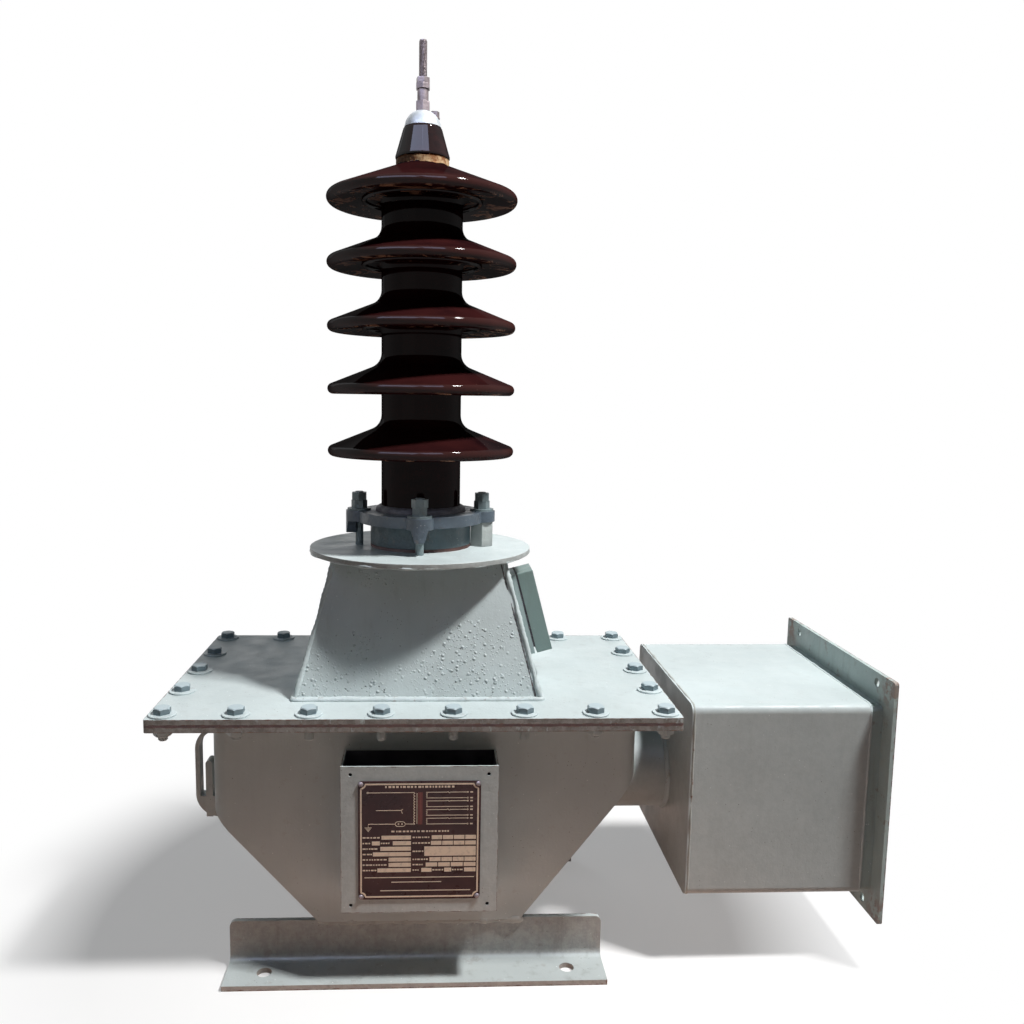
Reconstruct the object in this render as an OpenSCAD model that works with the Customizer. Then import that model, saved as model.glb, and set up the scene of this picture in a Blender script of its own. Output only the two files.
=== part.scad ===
// Outdoor oil-filled voltage transformer, single phase, 33 kV class.
// Frame: origin on the ground in the middle of the four foundation bolts,
// +X towards the secondary terminal box, +Y away from the nameplate, +Z up.

/* [Base] */
// length of each base angle along X
angle_len = 360; // [300:5:420]
// leg width of the base angles
angle_leg = 45; // [40:1:60]
// thickness of the base angles
angle_t = 5; // [4:1:8]
// foundation bolt pitch along X
foot_pitch_x = 288; // [200:2:330]
// foundation bolt pitch along Y
foot_pitch_y = 234; // [200:2:280]
// foundation bolt hole diameter
foot_hole_d = 14; // [10:1:18]

/* [Tank] */
// outside width of the tank along X
tank_w = 404; // [340:2:440]
// outside depth of the tank along Y
tank_d = 201; // [180:1:240]
// how far the tank's middle lies from the cover's middle, towards the box
tank_shift = 8; // [-10:1:15]
// radius of the tank's upright folded corners
tank_corner_r = 18; // [8:1:30]
// thickness of the tank's sheet steel
tank_t = 4; // [3:0.5:6]
// height above ground where the left side starts to slope in
slope_top_z = 155; // [120:1:200]
// how much higher the slope starts on the box side
slope_step = 32; // [0:1:40]
// radius of the fold between upright side and slope
slope_bend_r = 14; // [10:1:40]
// width of the tank floor along X
floor_w = 194; // [150:1:300]
// how far the floor's middle lies from the tank's middle along X
floor_shift = -5.5; // [-20:0.5:20]

/* [Cover] */
// spacing of the cover bolts, equal in X and Y
cover_pitch = 65; // [60:0.5:70]
// number of cover bolts along X
cover_bolts_x = 8; // [6:1:10]
// number of cover bolts along Y
cover_bolts_y = 5; // [4:1:7]
// distance from the outer bolt line to the cover's edge
cover_margin = 13.5; // [12:0.5:18]
// height of the cover's top face above ground
cover_z = 263; // [240:1:290]
// thickness of the cover plate
cover_t = 5; // [4:0.5:8]
// thickness of the cover gasket
gasket_t = 2; // [1:0.5:4]
// thickness of the tank's rim flange
rim_t = 5; // [4:0.5:8]

/* [Turret] */
// width of the turret at its foot along X
turret_foot_w = 234; // [200:2:260]
// depth of the turret at its foot along Y
turret_foot_d = 186; // [150:2:210]
// width of the turret at its top along X
turret_top_w = 165; // [140:1:190]
// depth of the turret at its top along Y
turret_top_d = 117; // [100:1:150]
// height of the turret's sloping walls
turret_h = 129; // [100:1:160]
// diameter of the round turret top plate
disc_d = 224; // [200:2:250]
// thickness of the round turret top plate
disc_t = 5; // [4:0.5:8]

/* [Bushing] */
// diameter of the porcelain trunk
trunk_d = 80; // [70:1:95]
// diameter over the porcelain sheds
shed_d = 187; // [160:1:210]
// number of sheds
shed_count = 5; // [3:1:7]
// spacing of the sheds
shed_pitch = 61.25; // [50:0.25:70]
// height of the lowest shed's rim above ground
first_shed_z = 494; // [470:1:520]
// pitch circle diameter of the four clamp studs
clamp_pcd = 125; // [110:1:140]
// outside diameter of the seat ring under the clamp ring
seat_d = 102; // [98:1:102]

/* [Secondary terminal box] */
// length of the box along X
box_len = 172; // [140:1:220]
// depth of the box along Y
box_d = 222; // [180:2:240]
// height of the box
box_h = 191; // [150:1:210]
// distance from the foundation centre to the box's inner end
box_x = 258; // [245:1:280]
// thickness of the box's sheet steel
box_t = 3; // [2:0.5:4]
// outside diameter of the neck pipe
neck_d = 80; // [60:1:100]
// how far the end flange reaches beyond the box above and below
flange_reach_z = 24.5; // [20:0.5:35]
// how far the end flange reaches beyond the box at front and rear
flange_reach_y = 17; // [12:1:30]

/* [Hidden] */
$fn = 96;
cut = 1;                                   // how far a cutter reaches past a face
clear = 0.3;                               // gap left round a stud in its hole

rim_z = cover_z - cover_t - gasket_t - rim_t;
cover_w = (cover_bolts_x - 1) * cover_pitch + 2 * cover_margin;
cover_d = (cover_bolts_y - 1) * cover_pitch + 2 * cover_margin;
cover_corner_r = 3;
cover_opening_w = 170;
cover_opening_d = 124;

floor_z = angle_leg;
angle_bend_r = 6;
angle_root_r = 7;                          // rolled fillet between foot and web
web_front_y = foot_pitch_y / 2 - (angle_leg - angle_t) / 2;

turret_z = cover_z;
turret_t = 4;
disc_z = turret_z + turret_h;
disc_top_z = disc_z + disc_t;
disc_bore_d = 70;
wall_lean = atan((turret_foot_w - turret_top_w) / 2 / turret_h);

gauge_w = 40;
gauge_len = 85;
gauge_start = 23.5;
gauge_base_t = 8;
gauge_seal_t = 2;
gauge_cover_t = 16;
gauge_slot_w = 14;
gauge_slot_len = 58;
gauge_glass_w = 22;
gauge_glass_len = 66;
gauge_glass_t = 5;
gauge_seal_lift = 7;

seat_gasket_t = 3;
seat_h = 22;
seat_z = disc_top_z + seat_gasket_t;
clamp_z = seat_z + seat_h;
clamp_t = 11;
clamp_body_d = 126;
clamp_lug_d = 27;
clamp_bore_d = 88;
clamp_gasket_t = 2;
stud_d = 8;
nut_af = 14;
nut_h = 8;
stud_nut_turn = 30;                        // twist between the two nuts on a clamp stud
washer_d = 24;
washer_t = 2;
toe_h = 12;
toe_root_w = 17;
toe_end_w = 9;
toe_inner_r = clamp_pcd / 2 + 2.5;         // inner face of each toe, from the bushing's axis
spacer_af = 22;
stud_tip = 1;                              // thread left standing above a nut
packing_w = 6;                             // rubber squeezed up between clamp ring and trunk

foot_d = 97;                               // the porcelain's clamped foot
foot_h = seat_h - clamp_gasket_t + seat_gasket_t;
shed_top_z = first_shed_z + (shed_count - 1) * shed_pitch;
band_rise = 32;                            // from the top shed's rim to the unglazed band
band_z = shed_top_z + band_rise;
band_h = 5;
band_d = 52;
neck_z = band_z + band_h;
neck_h = 31;
neck_foot_d = 53.2;
neck_top_d = 38.6;
neck_edge_r = 3;
porcelain_top_z = neck_z + neck_h;

rim_r = 5.5;                               // roundness of a shed's rim
shed_lean = 22;                            // slope of a shed's upper side
shed_fillet_r = 15;
top_fillet_r = 1.5;                        // where the top shed runs out under the band
shed_root_r = 6;                           // fillet between trunk and underside
shed_under = 1.5;                          // underside's height below the rim's middle at the trunk
drip_r = 2.4;
drip_at = 57;                              // radius of the drip rib under each shed

cap_d = 36;
cap_h = 15;
cap_top_z = porcelain_top_z + cap_h;
cap_top_d = 15;
// middle of the dome below the porcelain's top, and its radius
cap_dome_z = (pow(cap_top_d / 2, 2) + pow(cap_h, 2) - pow(cap_d / 2, 2)) / (2 * cap_h);
cap_dome_r = sqrt(pow(cap_d / 2, 2) + pow(cap_dome_z, 2));
terminal_d = 8;
shank_d = 7.4;                             // the stud inside its nuts, cap and sleeve
terminal_len = 66;
terminal_nut_af = 13;
terminal_nut_h = 5.35;
collar_nut_h = 9.3;
nut_turn = 12;                             // twist between two stacked nuts
sleeve_d = 11;
sleeve_h = 11.4;
vent_r = 11.5;
vent_seat_z = porcelain_top_z + 8.5;
vent_flange_d = 10;
vent_flange_t = 1.2;
vent_head_af = 8;
vent_head_h = 5.5;

lug_reach = 23;
lug_h = 92;
lug_bar = 4;
lug_t = 14;
lug_y = 58;
lug_drop = 23;                             // from the rim flange down to the lug
lug_z = rim_z - lug_drop - lug_h;
eye_low = 21;                              // from the lug's lower end up to its eye
tongue_x = 7;                              // from the tank's wall to the tongue
tongue_w = 6.4;
tongue_h = 57;

pan_w = 143;
pan_h = 140;
pan_depth = 39.5;
pan_t = 2;
pan_z = 77.5;
pan_x = 2.5;                               // the pan's middle from the cover's middle
pan_hole_inset = 9;                        // from the pan's sides
pan_hole_low = 7.5;                        // from its top and bottom edges
pan_hole_pitch_x = pan_w - 2 * pan_hole_inset;
pan_hole_pitch_z = pan_h - 2 * pan_hole_low;
pan_hole_d = 3.4;
plate_w = 111;
plate_h = 113;
plate_t = 1;
plate_z = 91;

box_z = cover_z - box_h;
box_corner_r = 8;
neck_z_mid = 157;
neck_t = 4;
lip_len = 16;
lip_t = 4;
lip_drop = 1.5;
box_end_x = box_x + box_len;
flange_x = box_end_x + lip_len;
flange_hole_d = 9;
flange_hole_inset_y = 34;
flange_hole_inset_z = 10;
flange_hole_pitch_y = box_d + 2 * (flange_reach_y - flange_hole_inset_y);
flange_hole_pitch_z = box_h + 2 * (flange_reach_z - flange_hole_inset_z);
flange_lift = 2.5;                         // the flange's middle above the box's middle
flange_z = box_z + box_h / 2 + flange_lift;
lip_hole_d = 5;
lip_hole_inset = 9;
lip_hole_pitch_y = box_d - 2 * lip_hole_inset;
lip_hole_x = 6;                            // lip holes' place along the lip
board_t = 10;
board_w = 150;
board_h = 70;
board_z = 142;
board_leg_len = 46;
board_leg_w = 14;
board_x = box_x + box_t + board_leg_len;

paint = [0.66, 0.70, 0.69];
shade_paint = [0.55, 0.60, 0.60];
porcelain = [0.17, 0.07, 0.06];
tan = [0.72, 0.60, 0.46];
rubber = [0.25, 0.08, 0.07];
dark_rubber = [0.10, 0.10, 0.11];
zinc = [0.70, 0.70, 0.68];
alloy = [0.88, 0.89, 0.90];
glass = [0.80, 0.90, 0.88];
plate_brown = [0.22, 0.13, 0.14];
board_brown = [0.40, 0.26, 0.16];

// ---- shared shapes ----

module rounded_rect(w, d, r) {
  square([w - 2 * r, d], center = true);
  square([w, d - 2 * r], center = true);
  for (sx = [-1, 1], sy = [-1, 1])
    translate([sx * (w / 2 - r), sy * (d / 2 - r)])
      circle(r);
}

module hexagon(af) {
  circle(d = af / cos(30), $fn = 6);
}

module hex_prism(af, h) {
  linear_extrude(h) hexagon(af);
}

// a flat shape drawn in X and Z, given a thickness centred on Y
module upright(thickness) {
  rotate([90, 0, 0])
    linear_extrude(thickness, center = true)
      children();
}

// a flat shape drawn in Y and Z, given a thickness that grows along +X
module crosswise(thickness) {
  rotate([90, 0, 90])
    linear_extrude(thickness)
      children();
}

// ---- base ----

module base_angle() {
  color(paint) {
    difference() {
      translate([-angle_len / 2, -web_front_y - angle_leg + angle_t, 0])
        cube([angle_len, angle_leg, angle_t]);
      for (side = [-1, 1])
        translate([side * foot_pitch_x / 2, -foot_pitch_y / 2, -cut])
          cylinder(d = foot_hole_d, h = angle_t + 2 * cut);
    }
    translate([0, -web_front_y + angle_t / 2, 0])
      upright(angle_t)
        angle_web_outline();
    translate([-angle_len / 2, -web_front_y, angle_t])
      crosswise(angle_len)
        root_fillet_outline();
  }
}

// what fills the corner between foot and web, the corner at the origin
module root_fillet_outline() {
  difference() {
    translate([-angle_root_r, 0])
      square(angle_root_r);
    translate([-angle_root_r, angle_root_r])
      circle(angle_root_r);
  }
}

module angle_web_outline() {
  half = angle_len / 2;
  translate([-half, 0])
    square([angle_len, angle_leg - angle_bend_r]);
  translate([-half + angle_bend_r, 0])
    square([angle_len - 2 * angle_bend_r, angle_leg]);
  for (side = [-1, 1])
    translate([side * (half - angle_bend_r), angle_leg - angle_bend_r])
      circle(angle_bend_r);
}

module base_angle_front() {
  base_angle();
}

module base_angle_rear() {
  mirror([0, 1, 0]) base_angle();
}

// ---- tank ----

// one side of the tank's outline in X and Z, from its middle out to the side
module tank_half_outline(inset, side) {
  half = tank_w / 2 - inset;
  foot = floor_w / 2 + side * floor_shift;
  top_z = slope_top_z + (side > 0 ? slope_step : 0);
  lean = atan((tank_w / 2 - foot) / (top_z - floor_z));
  radius = slope_bend_r - inset;
  // the slope moves inwards with the inset, square to itself
  corner_z = top_z + inset * tan(lean / 2);
  setback = radius * tan(lean / 2);
  foot_x = half - (corner_z - floor_z) * tan(lean);
  mirror([side < 0 ? 1 : 0, 0]) {
    polygon([
      [0, floor_z], [foot_x, floor_z],
      [half - setback * sin(lean), corner_z - setback * cos(lean)],
      [half, corner_z + setback],
      [half, rim_z + rim_t], [0, rim_z + rim_t]
    ]);
    translate([half - radius, corner_z + setback])
      circle(radius);
  }
}

module tank_solid(inset, corner_r) {
  translate([tank_shift, 0, 0]) intersection() {
    upright(tank_d)
      union() {
        tank_half_outline(inset, -1);
        tank_half_outline(inset, 1);
      }
    linear_extrude(cover_z)
      rounded_rect(tank_w - 2 * inset, tank_d - 2 * inset, corner_r);
  }
}

module tank_shell() {
  color(paint)
    difference() {
      tank_solid(0, tank_corner_r);
      tank_solid(tank_t, tank_corner_r - tank_t);
      // the floor plate closes the bottom
      translate([-tank_w, -tank_d, floor_z - cut])
        cube([2 * tank_w, 2 * tank_d, tank_t + cut]);
    }
}

module tank_floor() {
  color(paint)
    intersection() {
      tank_solid(0, tank_corner_r);
      translate([-tank_w, -tank_d, floor_z])
        cube([2 * tank_w, 2 * tank_d, tank_t]);
    }
}

module tank_rim_flange() {
  color(paint)
    translate([0, 0, rim_z])
      linear_extrude(rim_t)
        difference() {
          rounded_rect(cover_w, cover_d, cover_corner_r);
          translate([tank_shift, 0])
            rounded_rect(tank_w, tank_d, tank_corner_r);
        }
}

module cover_gasket() {
  color(rubber)
    translate([0, 0, rim_z + rim_t])
      linear_extrude(gasket_t)
        difference() {
          rounded_rect(cover_w, cover_d, cover_corner_r);
          translate([tank_shift, 0])
            square([tank_w - 2 * tank_t, tank_d - 2 * tank_t], center = true);
        }
}

module cover_plate() {
  color(paint)
    translate([0, 0, cover_z - cover_t])
      linear_extrude(cover_t)
        difference() {
          rounded_rect(cover_w, cover_d, cover_corner_r);
          square([cover_opening_w, cover_opening_d], center = true);
        }
}

// ---- turret ----

module turret_outline(foot, top) {
  polygon([
    [-foot / 2, turret_z], [foot / 2, turret_z],
    [top / 2, disc_z], [-top / 2, disc_z]
  ]);
}

module turret_solid(inset) {
  reach = 2 * inset;
  intersection() {
    upright(turret_foot_d + cut)
      turret_outline(turret_foot_w - reach, turret_top_w - reach);
    rotate([0, 0, 90])
      upright(turret_foot_w + cut)
        turret_outline(turret_foot_d - reach, turret_top_d - reach);
  }
}

module turret_walls() {
  color(paint)
    difference() {
      turret_solid(0);
      turret_solid(turret_t / cos(wall_lean));
    }
}

module turret_top_plate() {
  color(paint)
    translate([0, 0, disc_z])
      difference() {
        cylinder(d = disc_d, h = disc_t);
        translate([0, 0, -cut])
          cylinder(d = disc_bore_d, h = disc_t + 2 * cut);
      }
}

// ---- oil gauge on the turret's right-hand wall ----

// places children with X square to the wall and Z up along it
module on_gauge_wall() {
  translate([turret_foot_w / 2, 0, turret_z])
    rotate([0, -wall_lean, 0])
      translate([0, 0, gauge_start])
        children();
}

module gauge_slot(from_x, length, w, slot_len) {
  middle = gauge_len / 2;
  translate([from_x, -w / 2, middle - slot_len / 2 + w / 2])
    cube([length, w, slot_len - w]);
  for (end = [-1, 1])
    translate([from_x, 0, middle + end * (slot_len - w) / 2])
      rotate([0, 90, 0])
        cylinder(d = w, h = length);
}

module gauge_block(from_x, thickness, lift) {
  translate([from_x, -gauge_w / 2, lift])
    cube([thickness, gauge_w, gauge_len - lift]);
}

module gauge_base() {
  color(shade_paint)
    on_gauge_wall()
      difference() {
        gauge_block(0, gauge_base_t, 0);
        gauge_slot(-cut, gauge_base_t + 2 * cut, gauge_slot_w, gauge_slot_len);
      }
}

module gauge_seal() {
  color(dark_rubber)
    on_gauge_wall()
      difference() {
        gauge_block(gauge_base_t, gauge_seal_t, gauge_seal_lift);
        gauge_slot(gauge_base_t - cut, gauge_seal_t + 2 * cut, gauge_slot_w, gauge_slot_len);
      }
}

module gauge_glass() {
  color(glass)
    on_gauge_wall()
      gauge_slot(gauge_base_t + gauge_seal_t, gauge_glass_t, gauge_glass_w, gauge_glass_len);
}

module gauge_cover() {
  start = gauge_base_t + gauge_seal_t;
  color(shade_paint)
    on_gauge_wall()
      difference() {
        gauge_block(start, gauge_cover_t, 0);
        gauge_slot(start - cut, gauge_glass_t + cut, gauge_glass_w, gauge_glass_len);
        gauge_slot(start, gauge_cover_t + cut, gauge_slot_w, gauge_slot_len);
      }
}

// ---- bushing seat and clamp ----

module ring(outer_d, inner_d, h) {
  difference() {
    cylinder(d = outer_d, h = h);
    translate([0, 0, -cut])
      cylinder(d = inner_d, h = h + 2 * cut);
  }
}

module bushing_seat_gasket() {
  color(rubber)
    translate([0, 0, disc_top_z])
      ring(seat_d, foot_d, seat_gasket_t);
}

module bushing_seat_ring() {
  color(shade_paint)
    translate([0, 0, seat_z])
      ring(seat_d, foot_d, seat_h);
}

// flat ring on the porcelain's foot, with a bead squeezed up round the trunk
module clamp_gasket() {
  color(dark_rubber)
    rotate_extrude()
      union() {
        translate([trunk_d / 2, clamp_z - clamp_gasket_t])
          square([(foot_d - trunk_d) / 2, clamp_gasket_t]);
        translate([trunk_d / 2, clamp_z - clamp_gasket_t])
          square([(clamp_bore_d - trunk_d) / 2, clamp_t + clamp_gasket_t]);
        translate([trunk_d / 2, clamp_z + clamp_t])
          intersection() {
            circle(packing_w);
            square(packing_w);
          }
      }
}

module clamp_ring() {
  color(shade_paint)
    difference() {
      union() {
        translate([0, 0, clamp_z]) {
          cylinder(d = clamp_body_d, h = clamp_t);
          for (turn = [0:90:270])
            rotate([0, 0, turn])
              translate([clamp_pcd / 2, 0, 0])
                cylinder(d = clamp_lug_d, h = clamp_t);
        }
        // tapered toes under the lugs; the right-hand lug rests on a spacer
        for (turn = [90:90:270])
          rotate([0, 0, turn])
            clamp_toe();
      }
      translate([0, 0, clamp_z - cut])
        cylinder(d = clamp_bore_d, h = clamp_t + 2 * cut);
      for (turn = [0:90:270])
        rotate([0, 0, turn])
          translate([clamp_pcd / 2, 0, clamp_z - toe_h - cut])
            cylinder(d = stud_d + 2 * clear, h = clamp_t + toe_h + 2 * cut);
    }
}

// one toe at the outer end of a lug, narrower towards its foot
module clamp_toe() {
  intersection() {
    translate([clamp_pcd / 2, 0, clamp_z - toe_h])
      cylinder(d = clamp_lug_d, h = toe_h);
    translate([toe_inner_r, 0, clamp_z - toe_h])
      crosswise(clamp_lug_d)
        polygon([
          [-toe_end_w / 2, 0], [toe_end_w / 2, 0],
          [toe_root_w / 2, toe_h], [-toe_root_w / 2, toe_h]
        ]);
  }
}

// a stud welded to the turret top, with a washer and two stacked nuts
module clamp_stud(turn) {
  top_z = clamp_z + clamp_t;
  color(shade_paint)
    rotate([0, 0, turn])
      translate([clamp_pcd / 2, 0, 0]) {
        translate([0, 0, disc_top_z])
          cylinder(d = stud_d, h = top_z - disc_top_z + washer_t + 2 * nut_h + stud_tip);
        translate([0, 0, top_z])
          cylinder(d = washer_d, h = washer_t);
        translate([0, 0, top_z + washer_t])
          hex_prism(nut_af, nut_h);
        translate([0, 0, top_z + washer_t + nut_h])
          rotate([0, 0, stud_nut_turn])
            hex_prism(nut_af, nut_h);
      }
}

module clamp_stud_front() {
  clamp_stud(270);
}

module clamp_stud_left() {
  clamp_stud(180);
}

module clamp_stud_rear() {
  clamp_stud(90);
}

module clamp_stud_right() {
  clamp_stud(0);
}

module hex_spacer() {
  color(paint)
    translate([clamp_pcd / 2, 0, disc_top_z])
      difference() {
        // flats towards the bushing
        rotate([0, 0, 30])
          hex_prism(spacer_af, clamp_z - disc_top_z);
        translate([0, 0, -cut])
          cylinder(d = stud_d + 2 * clear, h = clamp_z - disc_top_z + 2 * cut);
      }
}

// ---- porcelain ----

// half outline of one shed: round rim, sloping top that meets a core of
// radius core_r in a fillet, underside with a drip rib
module shed_outline(core_r, fillet_r) {
  rim_x = shed_d / 2 - rim_r;
  touch = [rim_x + rim_r * sin(shed_lean), rim_r * cos(shed_lean)];
  root_x = core_r + fillet_r * (1 - sin(shed_lean));
  root_z = touch[1] + (touch[0] - root_x) * tan(shed_lean);
  centre = [root_x + fillet_r * sin(shed_lean), root_z + fillet_r * cos(shed_lean)];
  inner = trunk_d / 2 + shed_root_r;
  difference() {
    union() {
      polygon([
        [0, -shed_under - shed_root_r], [inner, -shed_under - shed_root_r],
        [inner, -shed_under], [drip_at, -shed_under], [rim_x, -rim_r],
        touch, [root_x, root_z], [core_r, centre[1]], [0, centre[1]]
      ]);
      translate([rim_x, 0])
        circle(rim_r);
      translate([drip_at, -shed_under])
        circle(drip_r);
    }
    translate(centre)
      circle(fillet_r);
    translate([inner, -shed_under - shed_root_r])
      circle(shed_root_r);
  }
}

// the tapered neck above the top shed, rounded at its foot and top
module neck_outline() {
  foot = [neck_foot_d / 2 - neck_edge_r, neck_edge_r];
  top = [neck_top_d / 2 - neck_edge_r, neck_h - neck_edge_r];
  lean = atan((foot[0] - top[0]) / (top[1] - foot[1]));
  out = neck_edge_r * [cos(lean), sin(lean)];
  polygon([
    [0, 0], [foot[0], 0], foot + out, top + out, [top[0], neck_h], [0, neck_h]
  ]);
  for (p = [foot, top])
    translate(p)
      circle(neck_edge_r);
}

module porcelain_insulator() {
  color(porcelain)
    rotate_extrude()
      union() {
        translate([0, disc_top_z])
          square([foot_d / 2, foot_h]);
        translate([0, disc_top_z])
          square([trunk_d / 2, shed_top_z - disc_top_z]);
        for (i = [0 : shed_count - 2])
          translate([0, first_shed_z + i * shed_pitch])
            shed_outline(trunk_d / 2, shed_fillet_r);
        translate([0, shed_top_z]) {
          shed_outline(band_d / 2, top_fillet_r);
          square([band_d / 2, band_rise + band_h]);
        }
        translate([0, neck_z])
          neck_outline();
      }
}

// ---- high-voltage terminal ----

module terminal_cap() {
  color(alloy)
    translate([0, 0, porcelain_top_z])
      difference() {
        intersection() {
          translate([0, 0, cap_dome_z])
            sphere(cap_dome_r);
          cylinder(d = cap_d, h = cap_h);
        }
        translate([0, 0, -cut])
          cylinder(d = shank_d, h = cap_h + 2 * cut);
        translate([vent_r, 0, vent_seat_z - porcelain_top_z])
          cylinder(d = vent_flange_d + 2 * clear, h = cap_h);
      }
}

// free threaded end above a slightly thinner shank
module terminal_stud() {
  free_z = cap_top_z + collar_nut_h + sleeve_h + 2 * terminal_nut_h;
  color(zinc) {
    translate([0, 0, porcelain_top_z])
      cylinder(d = shank_d, h = free_z - porcelain_top_z);
    translate([0, 0, free_z])
      cylinder(d = terminal_d, h = cap_top_z + terminal_len - free_z);
  }
}

module terminal_nut(af, h) {
  difference() {
    rotate([0, 0, 30])
      hex_prism(af, h);
    translate([0, 0, -cut])
      cylinder(d = shank_d, h = h + 2 * cut);
  }
}

module terminal_lower_nut() {
  color(zinc)
    translate([0, 0, cap_top_z])
      terminal_nut(terminal_nut_af, collar_nut_h);
}

module terminal_sleeve() {
  color(zinc)
    translate([0, 0, cap_top_z + collar_nut_h])
      ring(sleeve_d, shank_d, sleeve_h);
}

module terminal_upper_nut() {
  color(zinc)
    translate([0, 0, cap_top_z + collar_nut_h + sleeve_h]) {
      terminal_nut(terminal_nut_af, terminal_nut_h);
      translate([0, 0, terminal_nut_h])
        rotate([0, 0, nut_turn])
          terminal_nut(terminal_nut_af - 1, terminal_nut_h);
    }
}

module vent_screw() {
  color(zinc)
    translate([vent_r, 0, vent_seat_z]) {
      cylinder(d = vent_flange_d, h = vent_flange_t);
      translate([0, 0, vent_flange_t])
        hex_prism(vent_head_af, vent_head_h);
    }
}

// ---- lifting lugs ----

// outline of a D-shaped lug in X and Z, its straight side drawn on into the wall at X = 0
module lug_outline(inset) {
  r = lug_reach - inset;
  translate([-lug_h, inset])
    square([lug_h, lug_h - 2 * inset]);
  translate([0, lug_reach])
    square([r, lug_h - 2 * lug_reach]);
  for (z = [lug_reach, lug_h - lug_reach])
    translate([0, z])
      circle(r);
}

// a lug cut to the tank's outer face, with a tongue standing in its eye
module lifting_lug(turn) {
  color(paint)
    difference() {
      translate([tank_shift, 0, 0])
        rotate([0, 0, turn])
          translate([tank_w / 2, lug_y, lug_z])
            upright(lug_t) {
              difference() {
                lug_outline(0);
                difference() {
                  lug_outline(lug_bar);
                  translate([-lug_h, 0])
                    square([2 * lug_h, eye_low]);
                }
              }
              translate([tongue_x, 0])
                square([tongue_w, tongue_h - tongue_w / 2]);
              translate([tongue_x + tongue_w / 2, tongue_h - tongue_w / 2])
                circle(tongue_w / 2);
            }
      tank_solid(0, tank_corner_r);
    }
}

module lifting_lug_right() {
  lifting_lug(0);
}

module lifting_lug_left() {
  lifting_lug(180);
}

// ---- nameplate ----

module nameplate_pan() {
  face_y = -tank_d / 2 - pan_depth;
  color(paint)
    difference() {
      translate([pan_x - pan_w / 2, face_y, pan_z])
        cube([pan_w, pan_depth, pan_h]);
      translate([pan_x - pan_w / 2 + pan_t, face_y + pan_t, pan_z + pan_t])
        cube([pan_w - 2 * pan_t, pan_depth, pan_h]);
      for (sx = [-1, 1], sz = [-1, 1])
        translate([
          pan_x + sx * pan_hole_pitch_x / 2, face_y - cut,
          pan_z + pan_h / 2 + sz * pan_hole_pitch_z / 2
        ])
          rotate([-90, 0, 0])
            cylinder(d = pan_hole_d, h = pan_t + 2 * cut, $fn = 32);
    }
}

module nameplate() {
  color(plate_brown)
    translate([pan_x, -tank_d / 2 - pan_depth - plate_t / 2, plate_z + plate_h / 2])
      upright(plate_t)
        rounded_rect(plate_w, plate_h, 3);
}

// ---- secondary terminal box ----

module neck_pipe() {
  color(paint)
    difference() {
      translate([0, 0, neck_z_mid])
        rotate([0, 90, 0])
          ring(neck_d, neck_d - 2 * neck_t, box_x);
      tank_solid(0, tank_corner_r);
    }
}

module box_outline(inset, r) {
  translate([0, box_z + box_h / 2])
    rounded_rect(box_d - 2 * inset, box_h - 2 * inset, r);
}

module box_inner_plate() {
  color(paint)
    difference() {
      translate([box_x, 0, 0])
        crosswise(box_t)
          box_outline(0, box_corner_r);
      translate([box_x - cut, 0, neck_z_mid])
        rotate([0, 90, 0])
          cylinder(d = neck_d - 2 * neck_t, h = box_t + 2 * cut);
    }
}

module box_walls() {
  color(paint)
    translate([box_x + box_t, 0, 0])
      crosswise(box_len - box_t)
        difference() {
          box_outline(0, box_corner_r);
          box_outline(box_t, box_corner_r - box_t);
        }
}

// an angle-iron frame: a lip that carries the box on and an outstanding leg
module box_flange() {
  color(shade_paint)
    difference() {
      union() {
        translate([box_end_x, 0, 0])
          crosswise(lip_len)
            box_outline(lip_drop, box_corner_r - lip_drop);
        translate([flange_x - lip_t, 0, 0])
          crosswise(lip_t)
            translate([0, flange_z])
              rounded_rect(
                box_d + 2 * flange_reach_y, box_h + 2 * flange_reach_z, 3
              );
      }
      translate([box_end_x - cut, 0, 0])
        crosswise(lip_len + 2 * cut)
          box_outline(lip_drop + lip_t, box_corner_r - lip_drop - lip_t / 2);
      for (sy = [-1, 1], sz = [-1, 1])
        translate([
          flange_x - lip_t - cut, sy * flange_hole_pitch_y / 2,
          flange_z + sz * flange_hole_pitch_z / 2
        ])
          rotate([0, 90, 0])
            cylinder(d = flange_hole_d, h = lip_t + 2 * cut);
      for (sy = [-1, 1])
        translate([box_end_x + lip_hole_x, sy * lip_hole_pitch_y / 2, box_z - cut])
          cylinder(d = lip_hole_d, h = box_h + 2 * cut, $fn = 32);
    }
}

// insulating board for the secondary studs, on two legs
module terminal_board() {
  color(board_brown)
    translate([board_x, -board_w / 2, board_z])
      cube([board_t, board_w, board_h]);
}

module terminal_board_bracket() {
  from_x = box_x + box_t;
  color(paint)
    for (side = [-1, 1])
      translate([from_x, side * (board_w / 2 - board_leg_w / 2) - board_leg_w / 2, board_z])
        cube([board_x - from_x, board_leg_w, board_h]);
}

base_angle_front();
base_angle_rear();
tank_shell();
tank_floor();
tank_rim_flange();
cover_gasket();
cover_plate();
turret_walls();
turret_top_plate();
gauge_base();
gauge_seal();
gauge_glass();
gauge_cover();
bushing_seat_gasket();
bushing_seat_ring();
clamp_gasket();
clamp_ring();
clamp_stud_front();
clamp_stud_left();
clamp_stud_rear();
clamp_stud_right();
hex_spacer();
porcelain_insulator();
terminal_cap();
terminal_stud();
terminal_lower_nut();
terminal_sleeve();
terminal_upper_nut();
vent_screw();
lifting_lug_left();
lifting_lug_right();
nameplate_pan();
nameplate();
neck_pipe();
box_inner_plate();
box_walls();
box_flange();
terminal_board();
terminal_board_bracket();
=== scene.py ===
"""Looks for the outdoor voltage transformer. Metres, in the CAD model's own frame."""
import math
import random

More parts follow.
